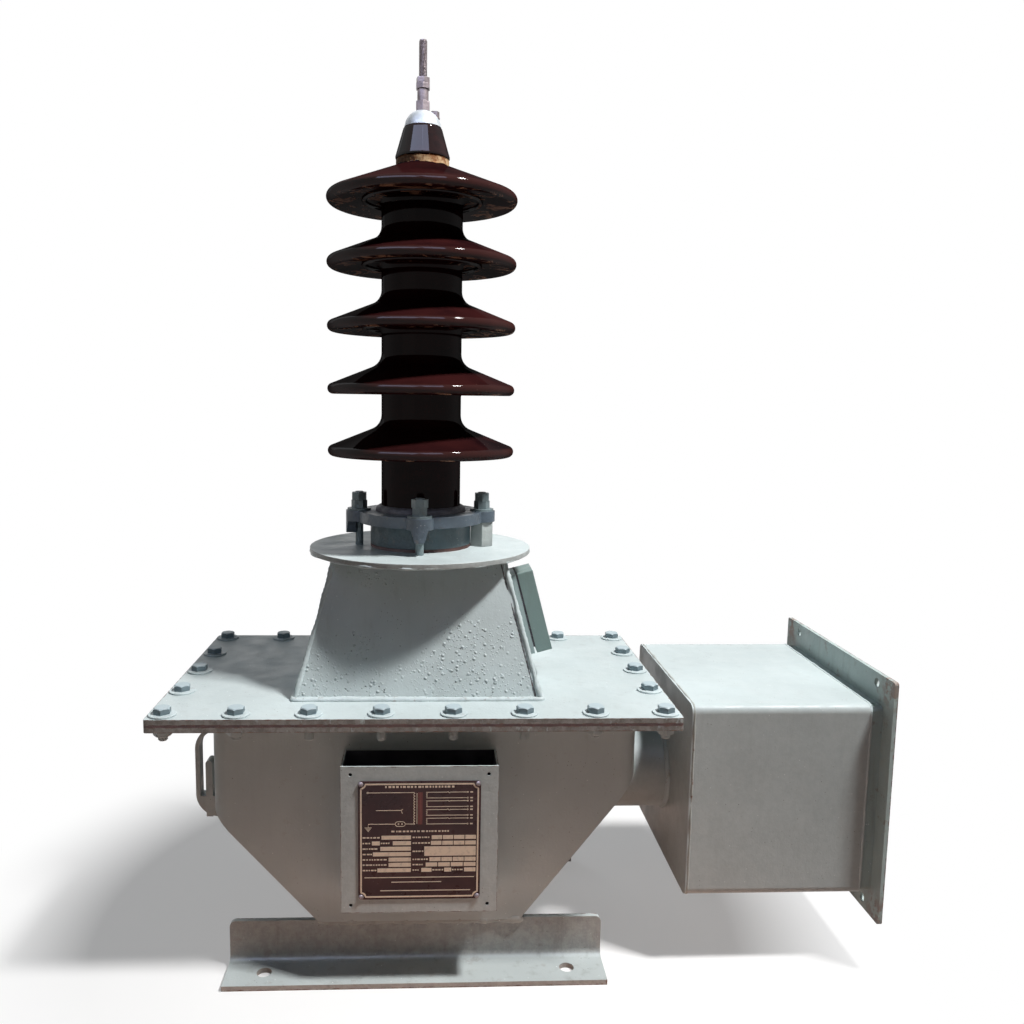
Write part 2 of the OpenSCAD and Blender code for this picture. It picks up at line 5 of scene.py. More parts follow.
import bmesh
import bpy
from mathutils import Matrix, Vector, noise


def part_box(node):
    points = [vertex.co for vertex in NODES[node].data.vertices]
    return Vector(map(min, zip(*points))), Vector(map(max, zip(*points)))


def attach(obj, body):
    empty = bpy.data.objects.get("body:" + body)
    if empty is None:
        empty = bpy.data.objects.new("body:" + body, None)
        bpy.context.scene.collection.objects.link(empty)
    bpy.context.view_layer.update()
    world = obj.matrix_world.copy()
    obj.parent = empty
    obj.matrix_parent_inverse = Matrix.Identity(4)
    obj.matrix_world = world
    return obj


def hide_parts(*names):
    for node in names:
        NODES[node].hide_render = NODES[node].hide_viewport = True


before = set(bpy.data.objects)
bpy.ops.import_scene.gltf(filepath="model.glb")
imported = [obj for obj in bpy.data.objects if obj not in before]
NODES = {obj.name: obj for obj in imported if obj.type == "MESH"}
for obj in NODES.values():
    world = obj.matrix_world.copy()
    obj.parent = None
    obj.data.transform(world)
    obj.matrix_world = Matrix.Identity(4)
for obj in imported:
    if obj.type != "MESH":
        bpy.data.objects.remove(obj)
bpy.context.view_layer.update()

MM = 0.001
TAU = 2 * math.pi
CORNERS = ((1, 1), (-1, 1), (-1, -1), (1, -1))


# ---------------------------------------------------------------- places and sizes

def box(name):
    lo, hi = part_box(name)
    return Vector(lo), Vector(hi)


def points(name):
    return [v.co for v in NODES[name].data.vertices]


BOARD_LO, BOARD_HI = box("terminal_board")
BOX_LO, BOX_HI = box("box_walls")
COVER_LO, COVER_HI = box("cover_plate")
DISC_LO, DISC_HI = box("turret_top_plate")
FLANGE_LO, FLANGE_HI = box("box_flange")
FLOOR_LO, FLOOR_HI = box("tank_floor")
NECK_LO, NECK_HI = box("neck_pipe")
PAN_LO, PAN_HI = box("nameplate_pan")
PLATE_LO, PLATE_HI = box("nameplate")
STUD_LO, STUD_HI = box("terminal_stud")
TANK_LO, TANK_HI = box("tank_shell")
TURRET_LO, TURRET_HI = box("turret_walls")
NUTS_TOP = box("terminal_upper_nut")[1].z
RIM_BOTTOM = box("tank_rim_flange")[0].z
SHED_R = box("porcelain_insulator")[1].x
BAND = (0.7698, 0.7764)          # bottom and top of the porcelain's unglazed band

# M8 fasteners, thickened by their paint
M8_PITCH = 0.00125
THREAD_R, THREAD_DEPTH = 0.0044, 0.0005
WASHER_D, WASHER_T = 0.0246, 0.0017
HEAD_AF, HEAD_H = 0.0142, 0.0058
NUT_AF, NUT_H = 0.0148, 0.0068
BOLTS_X, BOLTS_Y = 8, 5
BOLT_EDGE = 0.0135               # from the cover's edge to the middle of a bolt


# ---------------------------------------------------------------- camera

LENS, SENSOR, SHIFT_X = 31.85, 36.0, 0.0333
EYE = (0.01335, -0.92229, 0.54758)
PITCH, YAW, ROLL = (math.radians(a) for a in (-7.18, -2.81, -0.76))


def make_camera():
    """The photo's view, solved from the even pitch of the cover bolts."""
    data = bpy.data.cameras.new("camera")
    data.lens, data.sensor_width, data.shift_x = LENS, SENSOR, SHIFT_X
    data.clip_start, data.clip_end = 0.05, 50.0
    cam = bpy.data.objects.new("camera", data)
    bpy.context.scene.collection.objects.link(cam)
    aim = Matrix.Rotation(YAW, 4, "Z") @ Matrix.Rotation(math.pi / 2 + PITCH, 4, "X")
    cam.matrix_world = Matrix.Translation(EYE) @ aim @ Matrix.Rotation(-ROLL, 4, "Z")
    bpy.context.scene.camera = cam


make_camera()


# ---------------------------------------------------------------- node trees

def srgb(*c):
    return tuple(v / 255 / 12.92 if v <= 10 else ((v / 255 + 0.055) / 1.055) ** 2.4 for v in c)


def tint(color, factor, lift=0.0):
    return tuple(min(1.0, c * factor + lift) for c in color)


class Graph:
    """A node tree written as expressions: each method adds nodes and gives their output."""

    def __init__(self, owner):
        owner.use_nodes = True
        self.tree = owner.node_tree
        self.tree.nodes.clear()

    def new(self, kind):
        return self.tree.nodes.new("ShaderNode" + kind)

    def put(self, socket, value):
        if isinstance(value, bpy.types.NodeSocket):
            self.tree.links.new(value, socket)
        elif isinstance(value, (tuple, list)) and len(value) == 3 and socket.type == "RGBA":
            socket.default_value = (*value, 1.0)
        else:
            socket.default_value = value

    def math(self, op, a, b=0.0, clamp=False):
        n = self.new("Math")
        n.operation, n.use_clamp = op, clamp
        self.put(n.inputs[0], a)
        self.put(n.inputs[1], b)
        return n.outputs[0]

    def plus(self, a, b):
        return self.math("ADD", a, b)

    def minus(self, a, b):
        return self.math("SUBTRACT", a, b)

    def times(self, a, b):
        return self.math("MULTIPLY", a, b)

    def vmath(self, op, a, b=(0, 0, 0)):
        n = self.new("VectorMath")
        n.operation = op
        self.put(n.inputs[0], a)
        self.put(n.inputs[1], b)
        return n.outputs["Value"] if op == "LENGTH" else n.outputs[0]

    def xyz(self, vec):
        n = self.new("SeparateXYZ")
        self.put(n.inputs[0], vec)
        return n.outputs

    def ramp(self, value, lo, hi, to_lo=0.0, to_hi=1.0):
        """Smooth change from to_lo to to_hi while value goes from lo to hi."""
        n = self.new("MapRange")
        n.interpolation_type = "SMOOTHSTEP"
        for i, v in enumerate((value, lo, hi, to_lo, to_hi)):
            self.put(n.inputs[i], v)
        return n.outputs[0]

    def mix(self, fac, a, b):
        n = self.new("Mix")
        n.data_type = "RGBA"
        self.put(n.inputs[0], fac)
        self.put(n.inputs[6], a)
        self.put(n.inputs[7], b)
        return n.outputs[2]

    def rays(self, *kinds):
        """1 for these kinds of ray."""
        path = self.new("LightPath")
        total = path.outputs[f"Is {kinds[0]} Ray"]
        for kind in kinds[1:]:
            total = self.math("ADD", total, path.outputs[f"Is {kind} Ray"], clamp=True)
        return total

    def output(self, kind, fac, a, b):
        """Mixes two shaders by fac and sends them to the tree's output."""
        n = self.new("MixShader")
        for i, v in enumerate((fac, a, b)):
            self.put(n.inputs[i], v)
        self.put(self.new("Output" + kind).inputs[0], n.outputs[0])


class Mat(Graph):
    """A material whose textures use the object's own coordinates, in metres."""

    def __init__(self, name, metal=0.0, spec=0.5):
        self.material = bpy.data.materials.new(name)
        super().__init__(self.material)
        shader = self.new("BsdfPrincipled")
        self.put(self.new("OutputMaterial").inputs[0], shader.outputs[0])
        self.inputs = shader.inputs
        self.inputs["Metallic"].default_value = metal
        self.inputs["Specular IOR Level"].default_value = spec
        self.co = self.new("TexCoord").outputs["Object"]
        self.normal = None

    def z(self):
        return self.xyz(self.co)[2]

    def stretch(self, x, y, z):
        return self.vmath("MULTIPLY", self.co, (x, y, z))

    def shift(self, x, y, z):
        return self.vmath("ADD", self.co, (x, y, z))

    def noise(self, scale, detail=3.0, rough=0.55, vec=None, warp=0.0):
        n = self.new("TexNoise")
        self.put(n.inputs["Vector"], vec or self.co)
        n.inputs["Scale"].default_value = scale
        n.inputs["Detail"].default_value = detail
        n.inputs["Roughness"].default_value = rough
        n.inputs["Distortion"].default_value = warp
        return n.outputs[0]

    def varied(self, scale, low, high, detail=3):
        """Uneven between low and high, for roughness."""
        return self.ramp(self.noise(scale, detail), 0.3, 0.7, low, high)

    def mottle(self, a, b, scale, detail, lo, hi, rough=0.55, share=1.0):
        """Colour a, which turns to b by share where a noise rises from lo to hi."""
        return self.mix(self.ramp(self.noise(scale, detail, rough), lo, hi, 0.0, share), a, b)

    def dots(self, scale, near, far, amount=1.0, vec=None):
        """Round specks: amount inside near, nothing beyond far, as shares of a cell."""
        n = self.new("TexVoronoi")
        self.put(n.inputs["Vector"], vec or self.co)
        n.inputs["Scale"].default_value = scale
        return self.ramp(n.outputs["Distance"], near, far, amount, 0.0)

    def flecks(self, scale, near, far, patch, lo, hi):
        """Specks, only in patches where a coarse noise rises from lo to hi."""
        return self.times(self.dots(scale, near, far), self.ramp(self.noise(patch, 2), lo, hi))

    def facing_up(self):
        """The face's own normal along Z, from -1 to 1."""
        return self.xyz(self.new("NewGeometry").outputs["True Normal"])[2]

    def depth_in(self, lo, hi):
        """How far a point lies inside the box lo..hi, along each axis."""
        above = self.vmath("SUBTRACT", self.co, tuple(lo))
        below = self.vmath("SUBTRACT", tuple(hi), self.co)
        return self.xyz(self.vmath("MINIMUM", above, below))

    def edges(self, lo, hi, width):
        """1 near the edges of the box lo..hi, fading raggedly over width."""
        d = self.depth_in(lo, hi)
        small = self.math("MINIMUM", d[0], d[1])
        large = self.math("MAXIMUM", d[0], d[1])
        middle = self.math("MAXIMUM", small, self.math("MINIMUM", large, d[2]))
        wave = self.times(self.minus(self.noise(140.0, 4), 0.5), width * 4)
        return self.ramp(self.plus(middle, wave), 0.0, width, 1.0, 0.0)

    def within(self, lo, hi, soft):
        """1 inside the box lo..hi, fading over soft on both sides of its faces."""
        d = self.depth_in(lo, hi)
        least = self.math("MINIMUM", self.math("MINIMUM", d[0], d[1]), d[2])
        return self.ramp(least, -soft, soft)

    def bump(self, height, distance, strength=1.0):
        n = self.new("Bump")
        n.inputs["Strength"].default_value = strength
        n.inputs["Distance"].default_value = distance
        self.put(n.inputs["Height"], height)
        if self.normal:
            self.put(n.inputs["Normal"], self.normal)
        self.normal = n.outputs[0]

    def done(self, color, rough):
        self.put(self.inputs["Base Color"], color)
        self.put(self.inputs["Roughness"], rough)
        self.put(self.inputs["Normal"], self.normal)
        return self.material


# ---------------------------------------------------------------- enamel

PAINT = srgb(188, 199, 200)
RUST = srgb(112, 74, 56)
PRIMER = srgb(128, 92, 76)
DIRT = srgb(104, 98, 90)


def uneven_paint(m, base, grime):
    """The base colour with streaks, blotches, dark specks and pale spray dust."""
    col = m.mottle(tint(base, 0.90), tint(base, 1.05), 7.0, 4, 0.3, 0.7)
    streak = m.noise(1.0, 4, 0.6, m.stretch(85, 85, 9))
    col = m.mix(m.ramp(streak, 0.52, 0.78, 0.0, 0.30 * grime), col, DIRT)
    col = m.mottle(col, tint(base, 0.62), 26.0, 5, 0.60, 0.80, 0.65, 0.35 * grime)
    patch = m.noise(35.0, 2)
    specks = m.times(m.dots(230.0, 0.06, 0.12, 0.8), m.ramp(patch, 0.50, 0.62))
    col = m.mix(specks, col, srgb(70, 62, 55))
    spray = m.times(m.dots(170.0, 0.05, 0.10, 0.9, m.shift(3.1, 1.7, 5.3)), m.ramp(patch, 0.52, 0.40))
    return m.mix(spray, col, srgb(236, 242, 240))


def pitted(m, col, depth):
    """Blisters and a few open pits, thick in some patches and absent in others, most low down."""
    low = m.ramp(m.z(), 0.27, 0.38, 0.07, 0.0)
    cluster = m.ramp(m.plus(m.noise(13.0, 3, 0.6, m.shift(2, 4, 1)), low), 0.46, 0.62)
    large = m.times(m.dots(165.0, 0.08, 0.30, 1.0, m.shift(7, 5, 2)), cluster)
    small = m.times(m.dots(360.0, 0.10, 0.32, 1.0, m.shift(5, 1, 9)), cluster)
    pit = m.times(m.dots(120.0, 0.05, 0.12, 1.0, m.shift(1, 2, 3)), cluster)
    blisters = m.plus(large, m.times(small, 0.45))
    m.bump(m.minus(blisters, m.times(pit, 1.5)), 0.0008 * depth)
    return m.mix(m.times(pit, 0.6), col, srgb(84, 84, 86))


def bolt_heads_with_painted_shade(m, col, height):
    """Bolt heads above this height are darker than their washers, most of all on their sides: painted shade.
    """
    flat = m.ramp(m.math("ABSOLUTE", m.facing_up()), 0.4, 0.9)
    head = m.mix(flat, srgb(98, 116, 124), srgb(164, 180, 186))
    return m.mix(m.ramp(m.z(), height, height + 0.0003, 0.0, 0.85), col, head)


def shade_and_dirt_on_sides(m, col, amount):
    """Upright faces darkened with painted shade and dirt, with drips and specks of paint over it."""
    side = m.times(m.ramp(m.math("ABSOLUTE", m.facing_up()), 0.5, 0.8, 1.0, 0.0), amount)
    soil_and_shade = m.mottle(srgb(92, 78, 70), srgb(136, 130, 124), 150.0, 5, 0.35, 0.65, 0.7)
    drips = m.noise(1.0, 4, 0.6, m.stretch(190, 190, 70))
    clean = m.ramp(drips, 0.60, 0.70, 0.0, amount ** 2)
    return m.mix(m.times(side, m.minus(1.0, clean)), col, soil_and_shade)


def enamel(name, base=PAINT, grime=0.5, coarse=1.0, peel=0.75, brush=0.8, pits=0.0, rust=0.0,
           below=None, heads=None, side_dirt_and_shade=0.0, wear=None, patches=(), dark=None):
    """Brushed-on enamel over steel.

    grime, rust, side_dirt_and_shade: how much of each shows. coarse, peel, brush, pits: strength of its
    lumps, orange peel, brush marks and blisters. below: (from, to, share) of a darkening that fades out
    upwards.
    heads: height where bolt heads start. wear: (lo, hi, width) of a box with rubbed edges.
    patches: (lo, hi, colour, soft) of boxes in another colour. dark: (lo, hi) of a box painted near-black as
    the shade in a pocket.
    """
    m = Mat(name, spec=0.25)
    col = uneven_paint(m, base, grime)
    m.bump(m.plus(m.times(m.noise(420.0, 3), 0.5), m.times(m.noise(95.0, 3), coarse)), 0.0005, peel)
    m.bump(m.noise(1.0, 3, 0.6, m.stretch(700, 700, 60)), 0.00012, brush)
    if pits:
        col = pitted(m, col, pits)
    if rust:
        col = m.mottle(col, RUST, 60.0, 6, 0.58, 0.68, 0.7, rust)
    # darker towards the bottom
    if below:
        col = m.mix(m.ramp(m.z(), *below, 0.0), col, DIRT)
    # bolt heads: painted shade, darkest on their sides
    if heads:
        col = bolt_heads_with_painted_shade(m, col, heads)
    # upright faces darkened: painted shade mixed with dirt
    if side_dirt_and_shade:
        col = shade_and_dirt_on_sides(m, col, side_dirt_and_shade)
    if wear:
        under = m.mottle(RUST, srgb(84, 66, 58), 300.0, 3, 0.4, 0.6)
        col = m.mix(m.times(m.edges(*wear), 0.85), col, under)
    for lo, hi, color, soft in patches:
        spot = m.times(m.within(lo, hi, soft), m.ramp(m.noise(90.0, 5, 0.7), 0.44, 0.54))
        col = m.mix(m.times(spot, 0.85), col, color)
    # painted shade: near-black inside the pocket
    if dark:
        col = m.mix(m.within(*dark, 0.0003), col, srgb(26, 22, 26))
    return m.done(col, m.varied(48.0, 0.34, 0.56, 4))


def make_plate_paint(name, node):
    """Cover and rim plates: painted faces, rubbed edges, and sides darkened with dirt and painted shade."""
    return enamel(name, wear=(*box(node), 0.0008), grime=0.45, side_dirt_and_shade=0.85)


# ---------------------------------------------------------------- other materials

def make_porcelain():
    """Dark brown glaze, thin at the rims, with a painted reflection of warm ground on the undersides, and
    one band of bare clay.
    """
    m = Mat("brown_glaze", spec=0.0)
    z = m.z()
    radius = m.vmath("LENGTH", m.stretch(1, 1, 0))
    # the gloss fades at grazing angles; the trunk has less of it than the sheds, the neck more
    facing = m.new("LayerWeight").outputs["Facing"]
    neck = m.ramp(z, BAND[1], BAND[1] + 0.002, 0.0, 1.7)
    gloss = m.math("MAXIMUM", m.ramp(radius, 0.043, 0.054, 0.45, 1.0), neck)
    m.put(m.inputs["Coat Weight"], m.times(m.ramp(facing, 0.35, 0.85, 0.24, 0.018), gloss))
    m.inputs["Coat Roughness"].default_value = 0.05
    warm = srgb(46, 19, 19)
    col = m.mottle(srgb(20, 8, 11), warm, 9.0, 4, 0.35, 0.65)
    pools = m.noise(1.0, 5, 0.6, m.stretch(30, 30, 75))
    col = m.mix(m.ramp(pools, 0.48, 0.72, 0.0, 0.6), col, warm)
    reach = m.plus(radius, m.times(m.noise(70.0, 3), 0.004))
    rim = m.ramp(reach, SHED_R - 0.0016, SHED_R + 0.0022)
    col = m.mix(m.times(rim, 0.75), col, srgb(54, 24, 21))
    dust = m.flecks(210.0, 0.05, 0.11, 22.0, 0.52, 0.64)
    col = m.mix(m.times(dust, 0.5), col, srgb(130, 100, 88))
    # painted reflection: tan streaks of the ground on the shed undersides
    reflection_streaks = m.noise(1.0, 4, 0.6, m.stretch(44, 44, 140), warp=1.2)
    ground_reflection = m.times(m.ramp(m.facing_up(), -0.95, -0.6, 1.0, 0.0), m.ramp(reflection_streaks, 0.53, 0.62, 0.0, 0.8))
    col = m.mix(ground_reflection, col, srgb(158, 124, 102))
    ragged = m.plus(z, m.times(m.minus(m.noise(120.0, 4), 0.5), 0.005))
    start, end = (m.ramp(ragged, at_z, at_z + 0.0006) for at_z in BAND)
    band = m.times(start, m.minus(1.0, end))
    clay = m.mottle(srgb(196, 168, 132), srgb(140, 96, 66), 160.0, 5, 0.38, 0.62, 0.7)
    col = m.mix(band, col, clay)
    m.bump(m.noise(38.0, 2), 0.0006, 0.5)
    m.bump(m.times(m.noise(260.0, 3), band), 0.0008)
    m.bump(dust, 0.0003, 0.6)
    return m.done(col, m.ramp(band, 0.0, 1.0, 0.35, 0.8))


def make_cast(name, base, specks=0.5):
    """Cast, thickly painted clamp metal: lumpy, with pale flecks and brown rubs."""
    m = Mat(name)
    col = m.mottle(tint(base, 0.72), tint(base, 1.15), 24.0, 5, 0.3, 0.7, 0.6)
    col = m.mottle(col, srgb(112, 100, 88), 70.0, 5, 0.58, 0.72, 0.7, 0.55)
    fleck = m.flecks(260.0, 0.07, 0.13, 60.0, 0.54, 0.64)
    col = m.mix(m.times(fleck, specks), col, srgb(225, 230, 230))
    m.bump(m.noise(150.0, 4, 0.6), 0.0009, 0.8)
    m.bump(m.noise(600.0, 2), 0.0002, 0.6)
    return m.done(col, m.varied(80.0, 0.35, 0.62))


def make_metal(name, base, rough, stain=0.5):
    """Bare or plated metal with brown stains."""
    m = Mat(name, metal=0.75)
    col = m.mottle(base, tint(base, 0.55), 90.0, 5, 0.35, 0.7, 0.65)
    col = m.mottle(col, srgb(118, 92, 72), 230.0, 5, 0.58, 0.74, 0.7, stain)
    m.bump(m.noise(500.0, 4), 0.00025, 0.9)
    return m.done(col, m.varied(170.0, rough - 0.1, rough + 0.15))


def make_cap():
    """Satin cast alloy with grey stains."""
    m = Mat("cap_alloy", metal=0.25)
    col = m.mottle(srgb(168, 175, 180), srgb(196, 202, 206), 110.0, 4, 0.3, 0.7)
    col = m.mottle(col, srgb(120, 116, 112), 320.0, 4, 0.62, 0.74, 0.7, 0.7)
    m.bump(m.noise(420.0, 4), 0.0004, 0.9)
    return m.done(col, m.varied(200.0, 0.38, 0.6))


def make_rubber(name, base, chalk):
    """Gasket sheet, chalky in places."""
    m = Mat(name)
    col = m.mottle(base, tint(base, 1.9, 0.006), 120.0, 5, 0.35, 0.7, 0.6)
    col = m.mottle(col, srgb(170, 150, 140), 420.0, 4, 0.62, 0.75, share=chalk)
    m.bump(m.noise(520.0, 4), 0.0004)
    return m.done(col, m.varied(150.0, 0.6, 0.85))


def make_glass():
    """The gauge's glass, dark with the oil and shade behind it."""
    m = Mat("gauge_glass", spec=0.6)
    col = m.mottle(srgb(22, 28, 28), srgb(44, 50, 46), 40.0, 3, 0.3, 0.7)
    m.bump(m.noise(60.0, 2), 0.0002, 0.4)
    return m.done(col, m.ramp(m.noise(260.0, 4), 0.4, 0.7, 0.05, 0.22))


def make_plate_enamel():
    """The nameplate's dark ground, with dust."""
    m = Mat("plate_enamel", spec=0.2)
    col = m.mottle(srgb(50, 32, 34), srgb(66, 42, 42), 30.0, 4, 0.3, 0.7)
    dust = m.flecks(420.0, 0.06, 0.14, 50.0, 0.5, 0.62)
    col = m.mix(m.times(dust, 0.6), col, srgb(140, 120, 110))
    m.bump(m.noise(300.0, 3), 0.0001, 0.7)
    return m.done(col, m.varied(70.0, 0.24, 0.42))


def make_print(name, base, worn):
    """Lines and fields on the nameplate, darker by worn where they are rubbed."""
    m = Mat(name)
    col = m.mottle(base, tint(base, worn), 220.0, 5, 0.48, 0.72, 0.65)
    m.bump(m.noise(700.0, 3), 0.00008, 0.8)
    return m.done(col, m.varied(110.0, 0.36, 0.55))


def make_board():
    """Woven resin board."""
    m = Mat("resin_board")
    warp, weft = (m.noise(1.0, 3, 0.5, m.stretch(*s)) for s in ((40, 900, 60), (40, 60, 900)))
    weave = m.times(warp, weft)
    col = m.mix(m.ramp(weave, 0.12, 0.38), srgb(92, 56, 34), srgb(142, 92, 56))
    m.bump(weave, 0.0002, 0.8)
    return m.done(col, m.varied(80.0, 0.32, 0.5))


# the pan's inside and the tank's wall behind it, painted near-black as the shade behind its open top, and
# the flange's corners, worn down to primer
SHADED_POCKET = ((PAN_LO.x + 0.0015, PAN_LO.y + 0.0015, PAN_LO.z + 0.0012),
          (PAN_HI.x - 0.0015, PAN_HI.y + 0.002, PAN_HI.z - 0.0004))
TIP_Y, TIP_Z = 0.020, 0.022
TIPS = [((FLANGE_LO.x, y - TIP_Y, z - TIP_Z), (FLANGE_HI.x + 0.001, y + TIP_Y, z + TIP_Z), PRIMER, 0.012)
        for y in (-FLANGE_HI.y, FLANGE_HI.y) for z in (FLANGE_LO.z, FLANGE_HI.z)]

mats = {
    "tank": enamel("paint_tank", grime=0.2, coarse=0.6, dark=SHADED_POCKET, below=(0.05, 0.085, 0.35), rust=0.12),
    "base": enamel("paint_base", base=srgb(178, 186, 186), wear=(*box("base_angle_front"), 0.0012),
                   grime=1.0, rust=0.2, side_dirt_and_shade=0.45),
    "base_rear": enamel("paint_base_rear", wear=(*box("base_angle_rear"), 0.0012), grime=1.0, rust=0.2,
                        side_dirt_and_shade=0.45),
    "cover": make_plate_paint("paint_cover", "cover_plate"),
    "rim": make_plate_paint("paint_rim", "tank_rim_flange"),
    "turret": enamel("paint_turret", pits=1.35, grime=0.4, coarse=0.9),
    "disc": enamel("paint_disc", grime=0.4, coarse=1.2, side_dirt_and_shade=0.5),
    "gauge": enamel("paint_gauge", base=srgb(150, 164, 164), grime=0.4, coarse=0.8),
    "gauge_front": enamel("paint_gauge_cover", base=srgb(120, 138, 135), grime=0.4, coarse=0.8),
    "box": enamel("paint_box", grime=0.3, coarse=0.35, side_dirt_and_shade=0.22, peel=0.4, brush=0.25),
    "flange": enamel("paint_flange", base=srgb(168, 184, 182), wear=(FLANGE_LO, FLANGE_HI, 0.0012),
                     patches=TIPS, grime=0.9, coarse=1.4, rust=0.45),
    "pan": enamel("paint_pan", wear=(PAN_LO, PAN_HI, 0.0006), dark=SHADED_POCKET, grime=0.4, side_dirt_and_shade=0.3, brush=0.4),
    "weld": enamel("paint_weld", grime=0.9, coarse=2.2, rust=0.5),
    "weld_rusty": enamel("paint_weld_rusty", base=srgb(160, 162, 158), grime=1.0, coarse=2.2, rust=0.3),
    "weld_spotted": enamel("paint_weld_spotted", base=srgb(164, 168, 164), grime=1.0, coarse=2.0, rust=0.7),
    # a dark grey that stands for shade beside the turret's corner beads
    "weld_shade_line": enamel("paint_weld_shade_line", base=srgb(82, 80, 82), grime=1.0, coarse=2.2, rust=0.4),
    "bolt": enamel("paint_bolt", base=srgb(190, 202, 204), coarse=1.4, rust=0.2,
                   heads=COVER_HI.z + WASHER_T + 0.1 * MM),
    # blue-grey cast paint, made darker as painted shade of the lowest shed on the clamp, its studs and the
    # seat ring
    "clamp": make_cast("clamp_paint", srgb(72, 84, 94)),
    "clamp_light": make_cast("clamp_paint_light_with_painted_shade", srgb(114, 130, 133), 0.7),
    "seat": make_cast("seat_paint_with_painted_shade", srgb(66, 84, 90), 0.4),
    "spacer": make_cast("spacer_paint", srgb(164, 170, 168), 0.3),
    "porcelain": make_porcelain(),
    "cap": make_cap(),
    "zinc": make_metal("zinc_steel", srgb(134, 124, 126), 0.45),
    "brass": make_metal("brass", srgb(196, 160, 92), 0.35, 0.3),
    "gasket": make_rubber("gasket_red", srgb(62, 40, 35), 0.6),
    "gasket_black": make_rubber("gasket_black", srgb(38, 36, 40), 0.25),
    "glass": make_glass(),
    "plate": make_plate_enamel(),
    "cream": make_print("print_cream", srgb(218, 199, 178), 0.72),
    "red": make_print("print_red", srgb(126, 62, 54), 0.7),
    "board": make_board(),
}

STUDS = ("clamp_stud_front", "clamp_stud_left", "clamp_stud_rear", "clamp_stud_right")
NUTS = ("terminal_lower_nut", "terminal_upper_nut", "vent_screw", "terminal_sleeve")
LUGS = ("lifting_lug_left", "lifting_lug_right")
finishes = {
    "base": ("base_angle_front",),
    "base_rear": ("base_angle_rear",),
    "tank": ("tank_shell", "tank_floor"),
    "rim": ("tank_rim_flange",),
    "gasket": ("cover_gasket", "bushing_seat_gasket"),
    "gasket_black": ("clamp_gasket", "gauge_seal"),
    "cover": ("cover_plate",),
    "turret": ("turret_walls",),
    "disc": ("turret_top_plate",),
    "gauge": ("gauge_base",),
    "gauge_front": ("gauge_cover",),
    "glass": ("gauge_glass",),
    "seat": ("bushing_seat_ring",),
    "clamp": ("clamp_ring",),
    "clamp_light": STUDS,
    "spacer": ("hex_spacer",),
    "porcelain": ("porcelain_insulator",),
    "cap": ("terminal_cap",),
    "zinc": ("terminal_stud", *NUTS),
    "box": ("box_walls", "box_inner_plate", "neck_pipe", "terminal_board_bracket", *LUGS),
    "flange": ("box_flange",),
    "pan": ("nameplate_pan",),
    "plate": ("nameplate",),
    "board": ("terminal_board",),
}
for finish, names in finishes.items():
    for node in names:
        mesh = NODES[node].data
        mesh.materials.clear()
        mesh.materials.append(mats[finish])


# ---------------------------------------------------------------- softened edges on the CAD solids

def soften(width, *names):
    for name in names:
        o = NODES[name]
        o.modifiers.new("weld", "WELD").merge_threshold = 1e-6
        bevel = o.modifiers.new("bevel", "BEVEL")
        bevel.width, bevel.segments = width, 2
        bevel.limit_method, bevel.angle_limit = "ANGLE", math.radians(38)
        bevel.use_clamp_overlap = True
        o.modifiers.new("normals", "WEIGHTED_NORMAL").keep_sharp = False


soften(0.0006, "cover_plate", "tank_rim_flange", "base_angle_front", "base_angle_rear", "turret_top_plate",
       "box_flange", "box_inner_plate", "hex_spacer", "clamp_ring", "bushing_seat_ring", "gauge_base",
       "gauge_cover", *LUGS, "terminal_board", "terminal_board_bracket")
soften(0.0004, *STUDS, *NUTS, "terminal_cap")


# ---------------------------------------------------------------- mesh tools

def piece(name, bm, material, smooth=True, angle=35, replaces=()):
    """Turns bm into a piece of the object that rides on the root body."""
    mesh = bpy.data.meshes.new(name)
    bm.normal_update()
    bm.to_mesh(mesh)
    bm.free()
    mesh.materials.append(mats[material])
    o = bpy.data.objects.new(name, mesh)
    bpy.context.scene.collection.objects.link(o)
    if smooth:
        mesh.shade_smooth()
        mesh.set_sharp_from_angle(angle=math.radians(angle))
    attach(o, "root")
    if replaces:
        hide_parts(*replaces)


def weld(name, bm, material="weld"):
    """A painted weld bead as a piece of its own."""
    piece(name, bm, material, angle=60)


def skin(bm, rings, closed=False):
    """Quads between successive rings of points, capped at both ends unless the rings close up."""
    vs = [[bm.verts.new(p) for p in ring] for ring in rings]
    n = len(vs[0])
    for i in range(len(vs) if closed else len(vs) - 1):
        a, b = vs[i], vs[(i + 1) % len(vs)]
        for j in range(n):
            k = (j + 1) % n
            bm.faces.new((a[j], a[k], b[k], b[j]))
    if not closed:
        bm.faces.new(list(reversed(vs[0])))
        bm.faces.new(vs[-1])


def circle(r, n):
    return [(r * math.cos(TAU * k / n), r * math.sin(TAU * k / n)) for k in range(n)]


def turned(bm, place, profile, n=36):
    """A turned or hexagonal solid. profile: (shape, radius, height[, drop]) from bottom to top."""
    rings = []
    for shape, r, z, *drop in profile:
        ring = []
        for j in range(n):
            t = TAU * j / n
            out = r / math.cos((t % (TAU / 6)) - TAU / 12) if shape == "hex" else r
            sink = drop[0] * (out - r) if drop else 0.0
            ring.append(place @ Vector((out * math.cos(t), out * math.sin(t), z - sink)))
        rings.append(ring)
    skin(bm, rings)


def hex_head(bm, place, across, h, z=0.0):
    """A hexagonal head or nut whose corners are rounded off at the top."""
    r = across / 2
    turned(bm, place, [("hex", r * 0.97, z), ("hex", r, z + 0.0004), ("hex", r, z + h * 0.90, 0.55),
                       ("round", r * 0.93, z + h), ("round", r * 0.5, z + h)])


